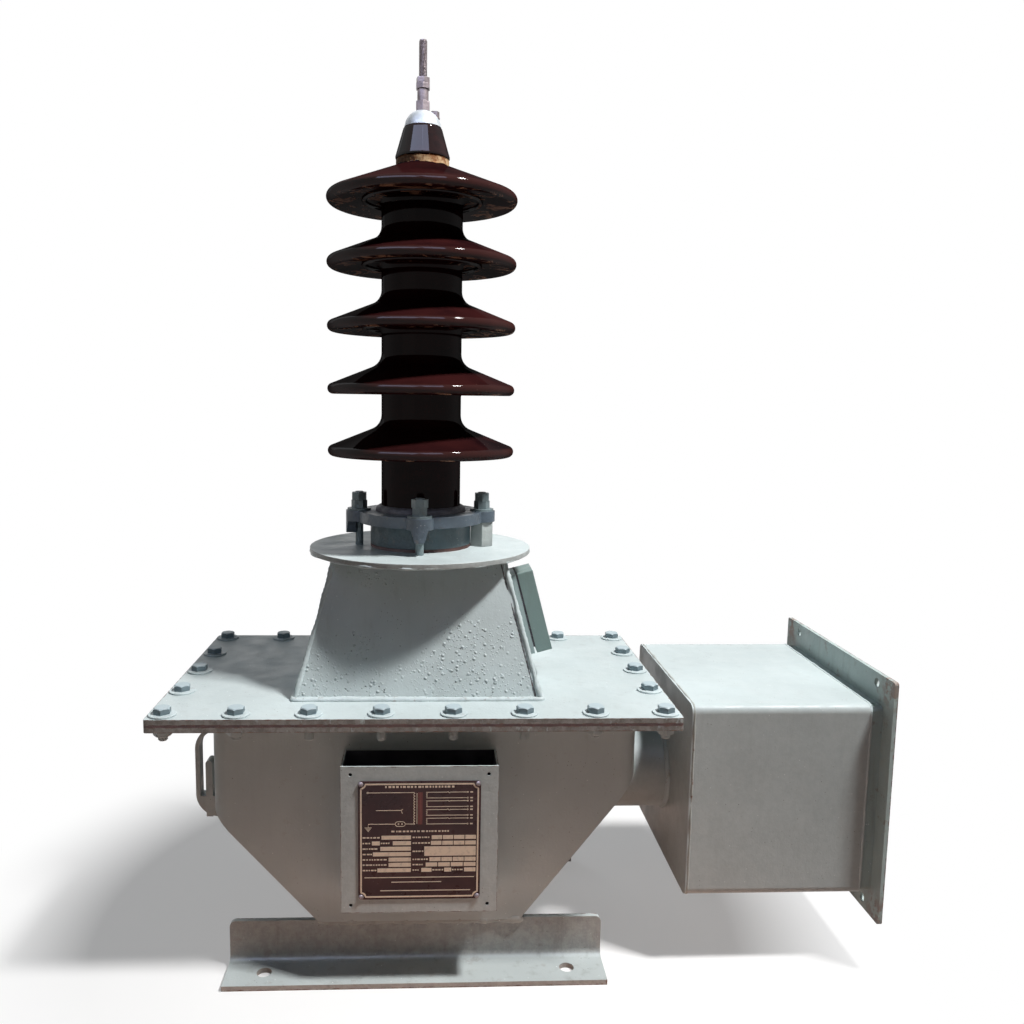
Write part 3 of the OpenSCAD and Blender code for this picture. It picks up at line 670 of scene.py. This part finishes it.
def disc(bm, place, d, t, z=0.0, n=32):
    """A washer with softened rims."""
    r, e = d / 2, min(0.0004, t / 4)
    turned(bm, place, [("round", r - e, z), ("round", r, z + e), ("round", r, z + t - e),
                       ("round", r - e, z + t)], n)


def threaded(bm, place, r, depth, pitch, z0, z1):
    """Ring grooves that read as a thread, with a chamfered end."""
    rings, z = [], z0
    while z < z1 - pitch * 0.7:
        rings.append(("round", r - (depth if len(rings) % 2 else 0.0), z))
        z += pitch / 2
    rings += [("round", r - depth, z1 - pitch * 0.5), ("round", r - 2 * depth, z1)]
    turned(bm, place, rings, 20)


def helix_thread(bm, place, r_out, r_in, pitch, z0, z1, n=28, per_turn=6):
    """A true single-start thread, which fades at both ends."""
    rows = int((z1 - z0) / pitch * per_turn)
    rings = []
    for i in range(rows + 1):
        z = z0 + (z1 - z0) * i / rows
        fade = min(1.0, (z1 - z) / (pitch * 1.2), (z - z0) / (pitch * 0.5))
        ring = []
        for j in range(n):
            t = TAU * j / n
            flank = 1 - abs(2 * ((z / pitch - j / n) % 1.0) - 1)
            r = r_in + (r_out - r_in) * min(1.0, flank * 1.25) * max(0.15, fade)
            ring.append(place @ Vector((r * math.cos(t), r * math.sin(t), z)))
        rings.append(ring)
    skin(bm, rings)


def resample(path, step, closed):
    """Points at an even step along a path."""
    pts = [Vector(p) for p in path]
    if closed:
        pts.append(pts[0])
    out, carry = [], 0.0
    for a, b in zip(pts, pts[1:]):
        length = (b - a).length
        s = carry
        while s < length:
            out.append(a.lerp(b, s / length))
            s += step
        carry = s - length
    if not closed:
        out.append(pts[-1])
    return out


def bead(bm, path, r, closed=False, seed=0, ripple=0.16, jitter=0.28, step=0.0022, sides=8):
    """A lumpy weld bead along a path, rippled by the welder's steps and thinner at open ends."""
    ripple_length = 0.0052
    pts = resample(path, step, closed)
    n = len(pts)
    rings, up = [], None
    for i, p in enumerate(pts):
        a = pts[(i - 1) % n] if closed or i else p
        b = pts[(i + 1) % n] if closed or i < n - 1 else p
        t = (b - a).normalized()
        if up is None:
            up = t.orthogonal().normalized()
        up = (up - t * up.dot(t)).normalized()
        side = t.cross(up)
        s = i * step
        swell = noise.noise(Vector((s * 55, seed * 3.7, 0.0)))
        drift = noise.noise(Vector((s * 70, seed * 5.1, 9.0)))
        wave = abs(math.sin(math.pi * s / ripple_length + seed)) - 0.5
        thick = r * (1 + ripple * wave + jitter * swell)
        if not closed:
            thick *= min(1.0, 0.35 + 0.3 * min(i, n - 1 - i))
        centre = p + up * (drift * r * 0.25) + side * (swell * r * 0.25)
        ring = []
        for j in range(sides):
            angle = TAU * j / sides
            lump = 1 + 0.14 * noise.noise(Vector((s * 260, j * 1.9, seed)))
            ring.append(centre + (up * math.cos(angle) + side * math.sin(angle)) * thick * lump)
        rings.append(ring)
    skin(bm, rings, closed)


def rectangle(x, y, z):
    return [(sx * x, sy * y, z) for sx, sy in CORNERS]


def rounded_loop(w, d, r, steps=8):
    """Points round a rectangle with rounded corners, in its own plane."""
    pts = []
    for k, (sx, sy) in enumerate(CORNERS):
        cx, cy = sx * (w / 2 - r), sy * (d / 2 - r)
        for i in range(steps + 1):
            t = math.pi / 2 * (k + i / steps)
            pts.append((cx + r * math.cos(t), cy + r * math.sin(t)))
    return pts


def at(x, y, z, turn=0.0, flip=False):
    m = Matrix.Translation((x, y, z)) @ Matrix.Rotation(turn, 4, "Z")
    return m @ Matrix.Rotation(math.pi, 4, "X") if flip else m


# ---------------------------------------------------------------- bolts and threads

rng = random.Random(7)


def loose(amount):
    """A small random error either way."""
    return rng.uniform(-amount, amount)


def add_cover_bolts():
    """Washer and head on the cover, thread end under the rim, a nut on the two columns at each end."""
    pitch_x = (COVER_HI.x - COVER_LO.x - 2 * BOLT_EDGE) / (BOLTS_X - 1)
    pitch_y = (COVER_HI.y - COVER_LO.y - 2 * BOLT_EDGE) / (BOLTS_Y - 1)
    border = [(i, j) for j in range(BOLTS_Y) for i in range(BOLTS_X)
              if i in (0, BOLTS_X - 1) or j in (0, BOLTS_Y - 1)]
    for number, (i, j) in enumerate(border, 1):
        x, y = COVER_LO.x + BOLT_EDGE + i * pitch_x, COVER_LO.y + BOLT_EDGE + j * pitch_y
        bm = bmesh.new()
        disc(bm, at(x + loose(0.4) * MM, y + loose(0.4) * MM, COVER_HI.z), WASHER_D, WASHER_T)
        hex_head(bm, at(x, y, COVER_HI.z, TAU / 12 + loose(0.3)), HEAD_AF, HEAD_H, WASHER_T)
        under = at(x, y, RIM_BOTTOM, TAU / 12 + loose(0.4), flip=True)
        if i in (0, 1, BOLTS_X - 2, BOLTS_X - 1):
            hex_head(bm, under, NUT_AF, NUT_H)
            start, end = NUT_H - 0.4 * MM, 0.0105 + rng.uniform(0, 1.5) * MM
        else:
            start, end = 0.0, 0.0115 + rng.uniform(0, 1.2) * MM
        threaded(bm, under, THREAD_R, THREAD_DEPTH, M8_PITCH, start, end)
        piece(f"cover_bolt_{number:02d}", bm, "bolt")


def add_terminal_thread():
    """The terminal stud, plain inside its nuts and threaded above them."""
    plain_r, root_r, start = 0.0037, 0.00335, NUTS_TOP - 1 * MM
    bm = bmesh.new()
    turned(bm, at(0, 0, 0), [("round", plain_r, STUD_LO.z), ("round", plain_r, start)], 24)
    helix_thread(bm, at(0, 0, 0), STUD_HI.x, root_r, M8_PITCH, start, STUD_HI.z)
    piece("terminal_thread", bm, "zinc", angle=50, replaces=("terminal_stud",))


def add_secondary_studs():
    """Two rows of brass studs on the resin board, each with two washers and two nuts."""
    rows, columns, edge_y, edge_z = 2, 4, 0.024, 0.018
    washer_d, washer_t, nut_af, nut_h, slack = 0.0125, 0.0012, 0.0098, 0.0046, 0.0004
    stud_r, groove, pitch, length = 0.0029, 0.0003, 0.001, 0.021
    second = washer_t + nut_h + slack
    bm = bmesh.new()
    for row in range(rows):
        for k in range(columns):
            y = BOARD_LO.y + edge_y + k * (BOARD_HI.y - BOARD_LO.y - 2 * edge_y) / (columns - 1)
            z = BOARD_LO.z + edge_z + row * (BOARD_HI.z - BOARD_LO.z - 2 * edge_z)
            place = Matrix.Translation((BOARD_HI.x, y, z)) @ Matrix.Rotation(math.pi / 2, 4, "Y")
            for base, nut in ((0.0, washer_t), (second, second + washer_t + slack)):
                disc(bm, place, washer_d, washer_t, base, 24)
                hex_head(bm, place @ Matrix.Rotation(rng.uniform(0, 1), 4, "Z"), nut_af, nut_h, nut)
            threaded(bm, place, stud_r, groove, pitch, 0.0, length)
    piece("secondary_studs", bm, "brass")


# ---------------------------------------------------------------- weld beads

# where the turret's walls end at its top, and the tank's floor at its underside
top_pts = [p for p in points("turret_walls") if p.z > TURRET_HI.z - 1e-5]
TOP_X, TOP_Y = max(p.x for p in top_pts), max(p.y for p in top_pts)
foot_pts = [p for p in points("tank_floor") if p.z < FLOOR_LO.z + 1e-5]
FOOT_X0, FOOT_X1 = min(p.x for p in foot_pts), max(p.x for p in foot_pts)


def add_turret_welds():
    """Beads round the turret's foot and top and up its corners, and thin dark lines of painted shade beside
    the right-hand ones.
    """
    proud, sunk = 0.0005, 0.0006
    bm = bmesh.new()
    foot = rectangle(TURRET_HI.x + proud, TURRET_HI.y + proud, TURRET_LO.z + 0.0006)
    bead(bm, foot, 0.0031, closed=True, seed=1)
    weld("weld_turret_foot", bm)
    bm = bmesh.new()
    bead(bm, rectangle(TOP_X, TOP_Y, TURRET_HI.z - 0.0008), 0.0026, closed=True, seed=2)
    weld("weld_turret_top", bm)
    bm, shade_lines = bmesh.new(), bmesh.new()
    for k, (sx, sy) in enumerate(CORNERS):
        low = Vector((sx * (TURRET_HI.x - sunk), sy * (TURRET_HI.y - sunk), TURRET_LO.z))
        high = Vector((sx * (TOP_X - sunk), sy * (TOP_Y - sunk), TURRET_HI.z))
        bead(bm, [low, high], 0.0023, seed=10 + k, ripple=0.22, jitter=0.6, step=0.0018)
        # painted shade: a thin dark line beside each right-hand corner bead
        if sx > 0:
            beside = Vector((-0.0042, sy * 0.0002, 0))
            bead(shade_lines, [low + beside, high + beside], 0.0007, seed=14 + k, ripple=0.4, jitter=1.6,
                 step=0.0012, sides=6)
    weld("weld_turret_corners", bm)
    weld("weld_turret_shade_lines", shade_lines, "weld_shade_line")


def add_disc_drips():
    """Paint that ran over the edge of the turret's round plate and set in drips."""
    bm = bmesh.new()
    rim = [(x, y, DISC_LO.z + 0.0006) for x, y in circle(DISC_HI.x - 0.0012, 96)]
    bead(bm, rim, 0.0011, closed=True, seed=15, ripple=0.3, jitter=0.9)
    weld("paint_drips_disc", bm)


def add_tank_welds():
    """The tank under its rim flange, and its floor on the base angles."""
    middle = (TANK_LO.x + TANK_HI.x) / 2
    loop = rounded_loop(TANK_HI.x - TANK_LO.x, TANK_HI.y - TANK_LO.y, 0.018)
    bm = bmesh.new()
    bead(bm, [(middle + x, y, RIM_BOTTOM - 0.0006) for x, y in loop], 0.0026, closed=True, seed=20)
    weld("weld_rim", bm)
    bm = bmesh.new()
    for sy in (-1, 1):
        y, z = sy * (FLOOR_HI.y - 0.0035), FLOOR_LO.z - 0.0012
        bead(bm, [(FOOT_X0 - 0.001, y, z), (FOOT_X1 + 0.004, y, z)], 0.0036, seed=30 + sy, jitter=0.5)
    weld("weld_floor", bm, "weld_rusty")


def add_neck_welds():
    """The neck pipe at the tank, where the pipe's own end meets its wall, and at the terminal box."""
    middle, r = (NECK_LO.z + NECK_HI.z) / 2, (NECK_HI.z - NECK_LO.z) / 2
    outside = [p for p in points("neck_pipe")
               if abs(math.hypot(p.y, p.z - middle) - r) < 1e-4 and p.x < NECK_HI.x - 0.01]
    joint = sorted({(round(math.atan2(p.z - middle, p.y), 3), round(p.x, 5), p.y, p.z) for p in outside})
    bm = bmesh.new()
    bead(bm, [(x + 0.0006, y, z) for _, x, y, z in joint], 0.003, closed=True, seed=40)
    bead(bm, [(NECK_HI.x - 0.0008, y, middle + z) for y, z in circle(r, 48)], 0.003, closed=True, seed=41)
    weld("weld_neck", bm)


def add_box_welds():
    """The terminal box at its inner plate and at its flange."""
    middle = (BOX_LO.z + BOX_HI.z) / 2
    loop = rounded_loop(BOX_HI.y - BOX_LO.y, BOX_HI.z - BOX_LO.z, 0.008)
    bm = bmesh.new()
    back = [(BOX_LO.x - 0.0006, y * 0.994, middle + z * 0.993) for y, z in loop]
    bead(bm, back, 0.0013, closed=True, seed=50, jitter=0.45)
    weld("weld_box_back", bm, "weld_spotted")
    bm = bmesh.new()
    front = [(BOX_HI.x + 0.0004, y * 0.995, middle + z * 0.994) for y, z in loop]
    bead(bm, front, 0.0014, closed=True, seed=51)
    weld("weld_box_front", bm)


def add_pan_welds():
    """Stitch welds between the nameplate pan and the tank: four up each side and three below."""
    y, r = PAN_HI.y - 0.0008, 0.0019
    side_pitch, side_run, foot_pitch, foot_run = 0.036, 0.018, 0.048, 0.024
    bm = bmesh.new()
    for side, x in ((-1, PAN_LO.x), (1, PAN_HI.x)):
        for k in range(4):
            z = PAN_LO.z + 0.006 + k * side_pitch
            bead(bm, [(x, y, z), (x, y, z + side_run)], r, seed=60 + k * 3 + side)
    for k in range(3):
        x = PAN_LO.x + 0.012 + k * foot_pitch
        bead(bm, [(x, y, PAN_LO.z), (x + foot_run, y, PAN_LO.z)], r, seed=70 + k)
    weld("weld_pan", bm)


def add_lug_welds():
    """Each lug meets the tank's wall at its top bar, and the slope at its solid lower end."""
    bm = bmesh.new()
    for name, wall, foot in zip(LUGS, (TANK_LO.x, TANK_HI.x), (FOOT_X0, FOOT_X1)):
        lo, hi = box(name)
        bend = min(p.z for p in points("tank_shell") if abs(p.x - wall) < 1e-5)

        def slope_x(z):
            return wall + (foot - wall) * max(0.0, bend - z) / (bend - FLOOR_LO.z)

        bar_z, upper, lower = hi.z - 0.004, lo.z + 0.020, lo.z
        bead(bm, [(wall, lo.y, bar_z), (wall, hi.y, bar_z), (wall, hi.y, hi.z), (wall, lo.y, hi.z)],
             0.0017, closed=True, seed=80)
        bead(bm, [(slope_x(upper), lo.y, upper), (slope_x(lower), lo.y, lower),
                  (slope_x(lower), hi.y, lower), (slope_x(upper), hi.y, upper)], 0.0022, seed=81)
    weld("weld_lugs", bm)


def add_gauge_weld():
    """Round the gauge's base, in the plane of the turret's sloping wall."""
    lean = math.atan2(TURRET_HI.x - TOP_X, TURRET_HI.z - TURRET_LO.z)
    wall = Matrix.Translation((TURRET_HI.x, 0, TURRET_LO.z)) @ Matrix.Rotation(-lean, 4, "Y")
    flat = [wall.inverted() @ p for p in points("gauge_base")]
    y0, y1 = min(p.y for p in flat), max(p.y for p in flat)
    z0, z1 = min(p.z for p in flat), max(p.z for p in flat)
    bm = bmesh.new()
    outline = [wall @ Vector((0.0006, y, z)) for y, z in ((y0, z0), (y1, z0), (y1, z1), (y0, z1))]
    bead(bm, outline, 0.0019, closed=True, seed=90)
    weld("weld_gauge", bm)


add_cover_bolts()
add_terminal_thread()
add_turret_welds()
add_disc_drips()
add_tank_welds()
add_neck_welds()
add_box_welds()
add_pan_welds()
add_lug_welds()
add_gauge_weld()
add_secondary_studs()


# ---------------------------------------------------------------- nameplate
# Its places are given as shares u of the plate's width from the left and v of its height from the top.

WIDTH, HEIGHT = PLATE_HI.x - PLATE_LO.x, PLATE_HI.z - PLATE_LO.z
FACE = PLATE_LO.y
INK_FRONT, INK_BACK = FACE - 0.00014, FACE + 0.0001
LINE = 0.00055
MARGIN = 0.018
RIVET_LO, RIVET_HI = MARGIN + 0.005, 1 - MARGIN - 0.005
FIELD, LETTER = 0.033, 0.011     # height of a pale field, and of the bars that stand for wording


def plate(u, v):
    return PLATE_LO.x + u * WIDTH, PLATE_HI.z - v * HEIGHT


def bar(bm, u0, v0, u1, v1):
    x0, z0 = plate(u0, v0)
    x1, z1 = plate(u1, v1)
    corners = ((x0, z1), (x1, z1), (x1, z0), (x0, z0))
    skin(bm, [[Vector((x, y, z)) for x, z in corners] for y in (INK_BACK, INK_FRONT)])


def stroke(bm, pts, width=LINE, closed=False):
    """A flat line of constant width through plate points."""
    ps = [Vector(plate(u, v)) for u, v in pts]
    n = len(ps)
    rows = []
    for i, p in enumerate(ps):
        a = ps[(i - 1) % n] if closed or i else p
        b = ps[(i + 1) % n] if closed or i < n - 1 else p
        d = (b - a).normalized()
        side = Vector((-d.y, d.x)) * width / 2
        left, right = p + side, p - side
        rows.append([bm.verts.new(c) for c in (
            (left.x, INK_FRONT, left.y), (right.x, INK_FRONT, right.y),
            (right.x, INK_BACK, right.y), (left.x, INK_BACK, left.y))])
    for i in range(n if closed else n - 1):
        a, b = rows[i], rows[(i + 1) % n]
        for k in range(4):
            bm.faces.new((a[k], a[(k + 1) % 4], b[(k + 1) % 4], b[k]))
    if not closed:
        bm.faces.new(rows[0])
        bm.faces.new(list(reversed(rows[-1])))


def arc(cu, cv, ru, a0, a1, n=8):
    """Points on a circle round cu, cv, from angle a0 to a1 in degrees, clockwise as seen."""
    rv = ru * WIDTH / HEIGHT
    angles = [math.radians(a0 + (a1 - a0) * i / n) for i in range(n + 1)]
    return [(cu + ru * math.cos(a), cv + rv * math.sin(a)) for a in angles]


def terminal(bm, u, v, r, n, width=LINE):
    """A small ring of n strokes."""
    stroke(bm, arc(u, v, r, 0, 360, n)[:-1], width, closed=True)


def draw_border(bm):
    """A frame line with a hollow round each corner rivet."""
    hollow = 0.036
    pts = (arc(RIVET_LO, RIVET_LO, hollow, 90, 0) + arc(RIVET_HI, RIVET_LO, hollow, 180, 90)
           + arc(RIVET_HI, RIVET_HI, hollow, 270, 180) + arc(RIVET_LO, RIVET_HI, hollow, 360, 270))
    inside = [[min(max(c, MARGIN), 1 - MARGIN) for c in p] for p in pts]
    stroke(bm, inside, 0.0014, closed=True)


def draw_primary(bm, core):
    """The high-voltage winding with its terminal and screen, and the core's three bars."""
    top, foot, u, turns, turn_v = 0.094, 0.362, 0.455, 11, 0.0235
    stroke(bm, [(0.085, top), (u, top)])
    terminal(bm, 0.078, top, 0.006, 12)
    coil = []
    for k in range(turns):
        coil += arc(u + 0.007, 0.100 + (k + 0.5) * turn_v, 0.0105, 270, 90, 6)
    stroke(bm, [(u, top), *coil, (u, foot)])
    stroke(bm, [(0.478, 0.098), (0.478, 0.358)])
    for u in (0.494, 0.506, 0.518):
        bar(core, u - 0.0032, 0.092, u + 0.0032, foot)


def draw_secondaries(bm):
    """Four low-voltage windings, each with three turns, a fuse and two terminals."""
    u, end_u, mark_u = 0.565, 0.885, 0.912
    for k in range(4):
        top = 0.092 + k * 0.073
        foot = top + 0.048
        turns = []
        for j in range(3):
            turns += arc(u - 0.013, top + 0.008 + j * 0.016, 0.0085, 270, 450, 6)
        stroke(bm, [(u, top), *turns, (u, foot)], LINE * 0.9)
        fuse = [(0.722, top), (0.73, top - 0.005), (0.742, top + 0.006), (0.75, top)]
        stroke(bm, [(u, top), *fuse, (end_u, top)])
        stroke(bm, [(u, foot), (end_u, foot)])
        for v in (top, foot):
            terminal(bm, end_u + 0.007, v, 0.005, 10, LINE * 0.8)
            bar(bm, mark_u, v - 0.005, mark_u + 0.022, v + 0.005)


def draw_earth_link(bm):
    """The winding's lower end with its link, earth sign and pointer."""
    v, u = 0.358, 0.082
    stroke(bm, [(0.300, v), (u, v), (u, 0.385)])
    stroke(bm, [(0.385, v), (0.455, v)])
    stroke(bm, arc(0.322, v, 0.02, 90, 270) + arc(0.363, v, 0.02, 270, 450), closed=True)
    for contact in (0.328, 0.357):
        bar(bm, contact - 0.006, v - 0.006, contact + 0.006, v + 0.006)
    for k, half in enumerate((0.028, 0.020, 0.012, 0.005)):
        stroke(bm, [(u - half, 0.388 + k * 0.010), (u + half, 0.388 + k * 0.010)])
    tip = (0.350, 0.243)
    stroke(bm, [(0.145, 0.243), tip])
    stroke(bm, [tip, (0.364, 0.232)])
    stroke(bm, [tip, (0.360, 0.270)])


def dashes(bm, v, u0, u1, tall, seed, gap=0.006):
    """Plain short bars in place of wording."""
    pick, u = random.Random(seed), u0
    while u < u1 - 0.012:
        end = min(u1, u + pick.uniform(0.010, 0.026))
        bar(bm, u, v - tall / 2, end, v + tall / 2)
        u = end + gap * pick.uniform(0.8, 1.6)


def table_row(bm, v, tall, left, fields, apart, seed, seed_between):
    """One line of a table: pale fields, with bars for wording before them and wherever there is room."""
    dashes(bm, v, left, fields[0][0] - 0.008, LETTER, seed)
    for u0, u1 in fields:
        bar(bm, u0, v - tall / 2, u1, v + tall / 2)
    for j, (a, b) in enumerate(zip(fields, fields[1:])):
        dashes(bm, v, a[1] + apart, b[0] - apart, LETTER, seed_between + j)


LEFT_TABLE = (
    (0.472, [(0.190, 0.430)]),
    (0.520, [(0.112, 0.176), (0.282, 0.430)]),
    (0.567, [(0.180, 0.430)]),
    (0.613, [(0.120, 0.430)]),
    (0.659, [(0.248, 0.430)]),
    (0.704, [(0.248, 0.430)]),
    (0.750, [(0.156, 0.430)]),
)
RIGHT_TABLE = (
    (0.472, FIELD, [(0.600, 0.685), (0.692, 0.775), (0.782, 0.868), (0.875, 0.962)]),
    (0.520, FIELD, [(0.594, 0.680), (0.686, 0.774), (0.780, 0.868), (0.874, 0.962)]),
    (0.590, 0.080, [(0.540, 0.962)]),
    (0.659, FIELD, [(0.582, 0.674), (0.680, 0.768), (0.774, 0.864), (0.870, 0.962)]),
    (0.704, FIELD, [(0.552, 0.646), (0.654, 0.750), (0.758, 0.856), (0.864, 0.962)]),
    (0.750, FIELD, [(0.516, 0.600), (0.704, 0.762), (0.868, 0.962)]),
)


def draw_tables(bm):
    """Two title lines, the two tables, and three closing lines."""
    dashes(bm, 0.046, 0.22, 0.80, 0.016, 1, 0.010)
    dashes(bm, 0.420, 0.27, 0.74, 0.013, 2, 0.009)
    for k, (v, fields) in enumerate(LEFT_TABLE):
        table_row(bm, v, FIELD, 0.036, fields, 0.008, 20 + k, 30 + k)
    for k, (v, tall, fields) in enumerate(RIGHT_TABLE):
        table_row(bm, v, tall, 0.444, fields, 0.006, 40 + k, 50)
    for v, u0, u1 in ((0.812, 0.05, 0.95), (0.852, 0.27, 0.68), (0.925, 0.18, 0.92)):
        bar(bm, u0, v - 0.003, u1, v + 0.003)


def add_nameplate_print():
    """Every line and field on the plate, pale but for the core's red bars."""
    cream, red = bmesh.new(), bmesh.new()
    draw_border(cream)
    draw_primary(cream, red)
    draw_secondaries(cream)
    draw_earth_link(cream)
    draw_tables(cream)
    piece("nameplate_lines", cream, "cream", smooth=False)
    piece("nameplate_core_lines", red, "red", smooth=False)


def add_rivets():
    """A domed rivet in each corner of the nameplate."""
    outline = ((2.4, 0.0), (2.4, 0.3), (2.1, 0.8), (1.4, 1.2), (0.5, 1.4))
    dome = [("round", r * MM, h * MM) for r, h in outline]
    bm = bmesh.new()
    for u in (RIVET_LO, RIVET_HI):
        for v in (RIVET_LO, RIVET_HI):
            x, z = plate(u, v)
            turned(bm, Matrix.Translation((x, FACE, z)) @ Matrix.Rotation(math.pi / 2, 4, "X"), dome, 20)
    piece("nameplate_rivets", bm, "zinc")


add_nameplate_print()
add_rivets()


# ---------------------------------------------------------------- floor, light and background

def stage_floor():
    """Pale with a soft shadow near the object, white further out, and warmer in the light it throws back."""
    bm = bmesh.new()
    bmesh.ops.create_grid(bm, x_segments=2, y_segments=2, size=6.0)
    mesh = bpy.data.meshes.new("floor")
    bm.to_mesh(mesh)
    bm.free()
    o = bpy.data.objects.new("floor", mesh)
    bpy.context.scene.collection.objects.link(o)
    o.location = (0, 0, -0.0002)
    material = bpy.data.materials.new("floor_pale")
    g = Graph(material)
    camera = g.rays("Camera")
    distance = g.vmath("LENGTH", g.new("TexCoord").outputs["Object"])
    far = g.ramp(distance, 0.22, 0.52)
    bounce = g.mix(far, (0.80, 0.54, 0.44), (0.20, 0.14, 0.12))
    diffuse = g.new("BsdfDiffuse")
    g.put(diffuse.inputs["Color"], g.mix(camera, bounce, (0.86, 0.86, 0.86)))
    white = g.new("Emission")
    g.put(white.inputs["Color"], (1, 1, 1))
    seen = g.times(far, g.rays("Camera", "Glossy", "Transmission"))
    share = g.math("MAXIMUM", seen, g.times(camera, 0.3))
    g.output("Material", share, diffuse.outputs[0], white.outputs[0])
    mesh.materials.append(material)


def stage_world():
    """White where it is seen or reflected; as light, weak, cool from above and warm from the sides."""
    world = bpy.data.worlds.new("studio")
    bpy.context.scene.world = world
    g = Graph(world)
    up = g.xyz(g.new("TexCoord").outputs["Generated"])[2]
    sky = g.mix(g.ramp(up, 0.05, 0.75), (1.0, 0.80, 0.62), (0.66, 0.84, 1.0))
    ambient, white = g.new("Background"), g.new("Background")
    for background, color, strength in ((ambient, sky, 0.05), (white, (1, 1, 1), 1.0)):
        g.put(background.inputs["Color"], color)
        g.put(background.inputs["Strength"], strength)
    g.output("World", g.rays("Camera", "Glossy", "Transmission"), ambient.outputs[0], white.outputs[0])


def lamp(name, pos, target, size, power, color):
    data = bpy.data.lights.new(name, "AREA")
    data.shape, data.size, data.size_y = "RECTANGLE", *size
    data.energy, data.color = power, color
    o = bpy.data.objects.new(name, data)
    bpy.context.scene.collection.objects.link(o)
    o.location = pos
    o.rotation_mode = "QUATERNION"
    o.rotation_quaternion = (Vector(target) - Vector(pos)).to_track_quat("-Z", "Y")
    return o


stage_floor()
stage_world()
lamp("key", (1.10, -0.54, 2.35), (0.0, 0.0, 0.35), (0.25, 0.25), 84, (1.0, 0.99, 0.98))
lamp("fill", (-1.4, -1.9, 0.9), (0.0, 0.0, 0.35), (1.6, 1.2), 0.8, (1.0, 0.88, 0.78))
# two wide panels seen only in reflections, which stand for the sky in the glaze
for name, x, wide, power in (("panel_left", -0.95, 1.9, 62), ("panel_right", 0.46, 0.9, 30)):
    panel = lamp(name, (x, -1.5, 2.3), (0.0, 0.0, 0.8), (wide, 1.1), power, (0.62, 0.70, 1.0))
    panel.visible_diffuse = False
lamp("rim", (-1.1, 1.5, 1.5), (0.0, 0.0, 0.5), (0.8, 1.4), 5, (0.94, 0.97, 1.0))

bpy.context.scene.view_settings.view_transform = "Standard"
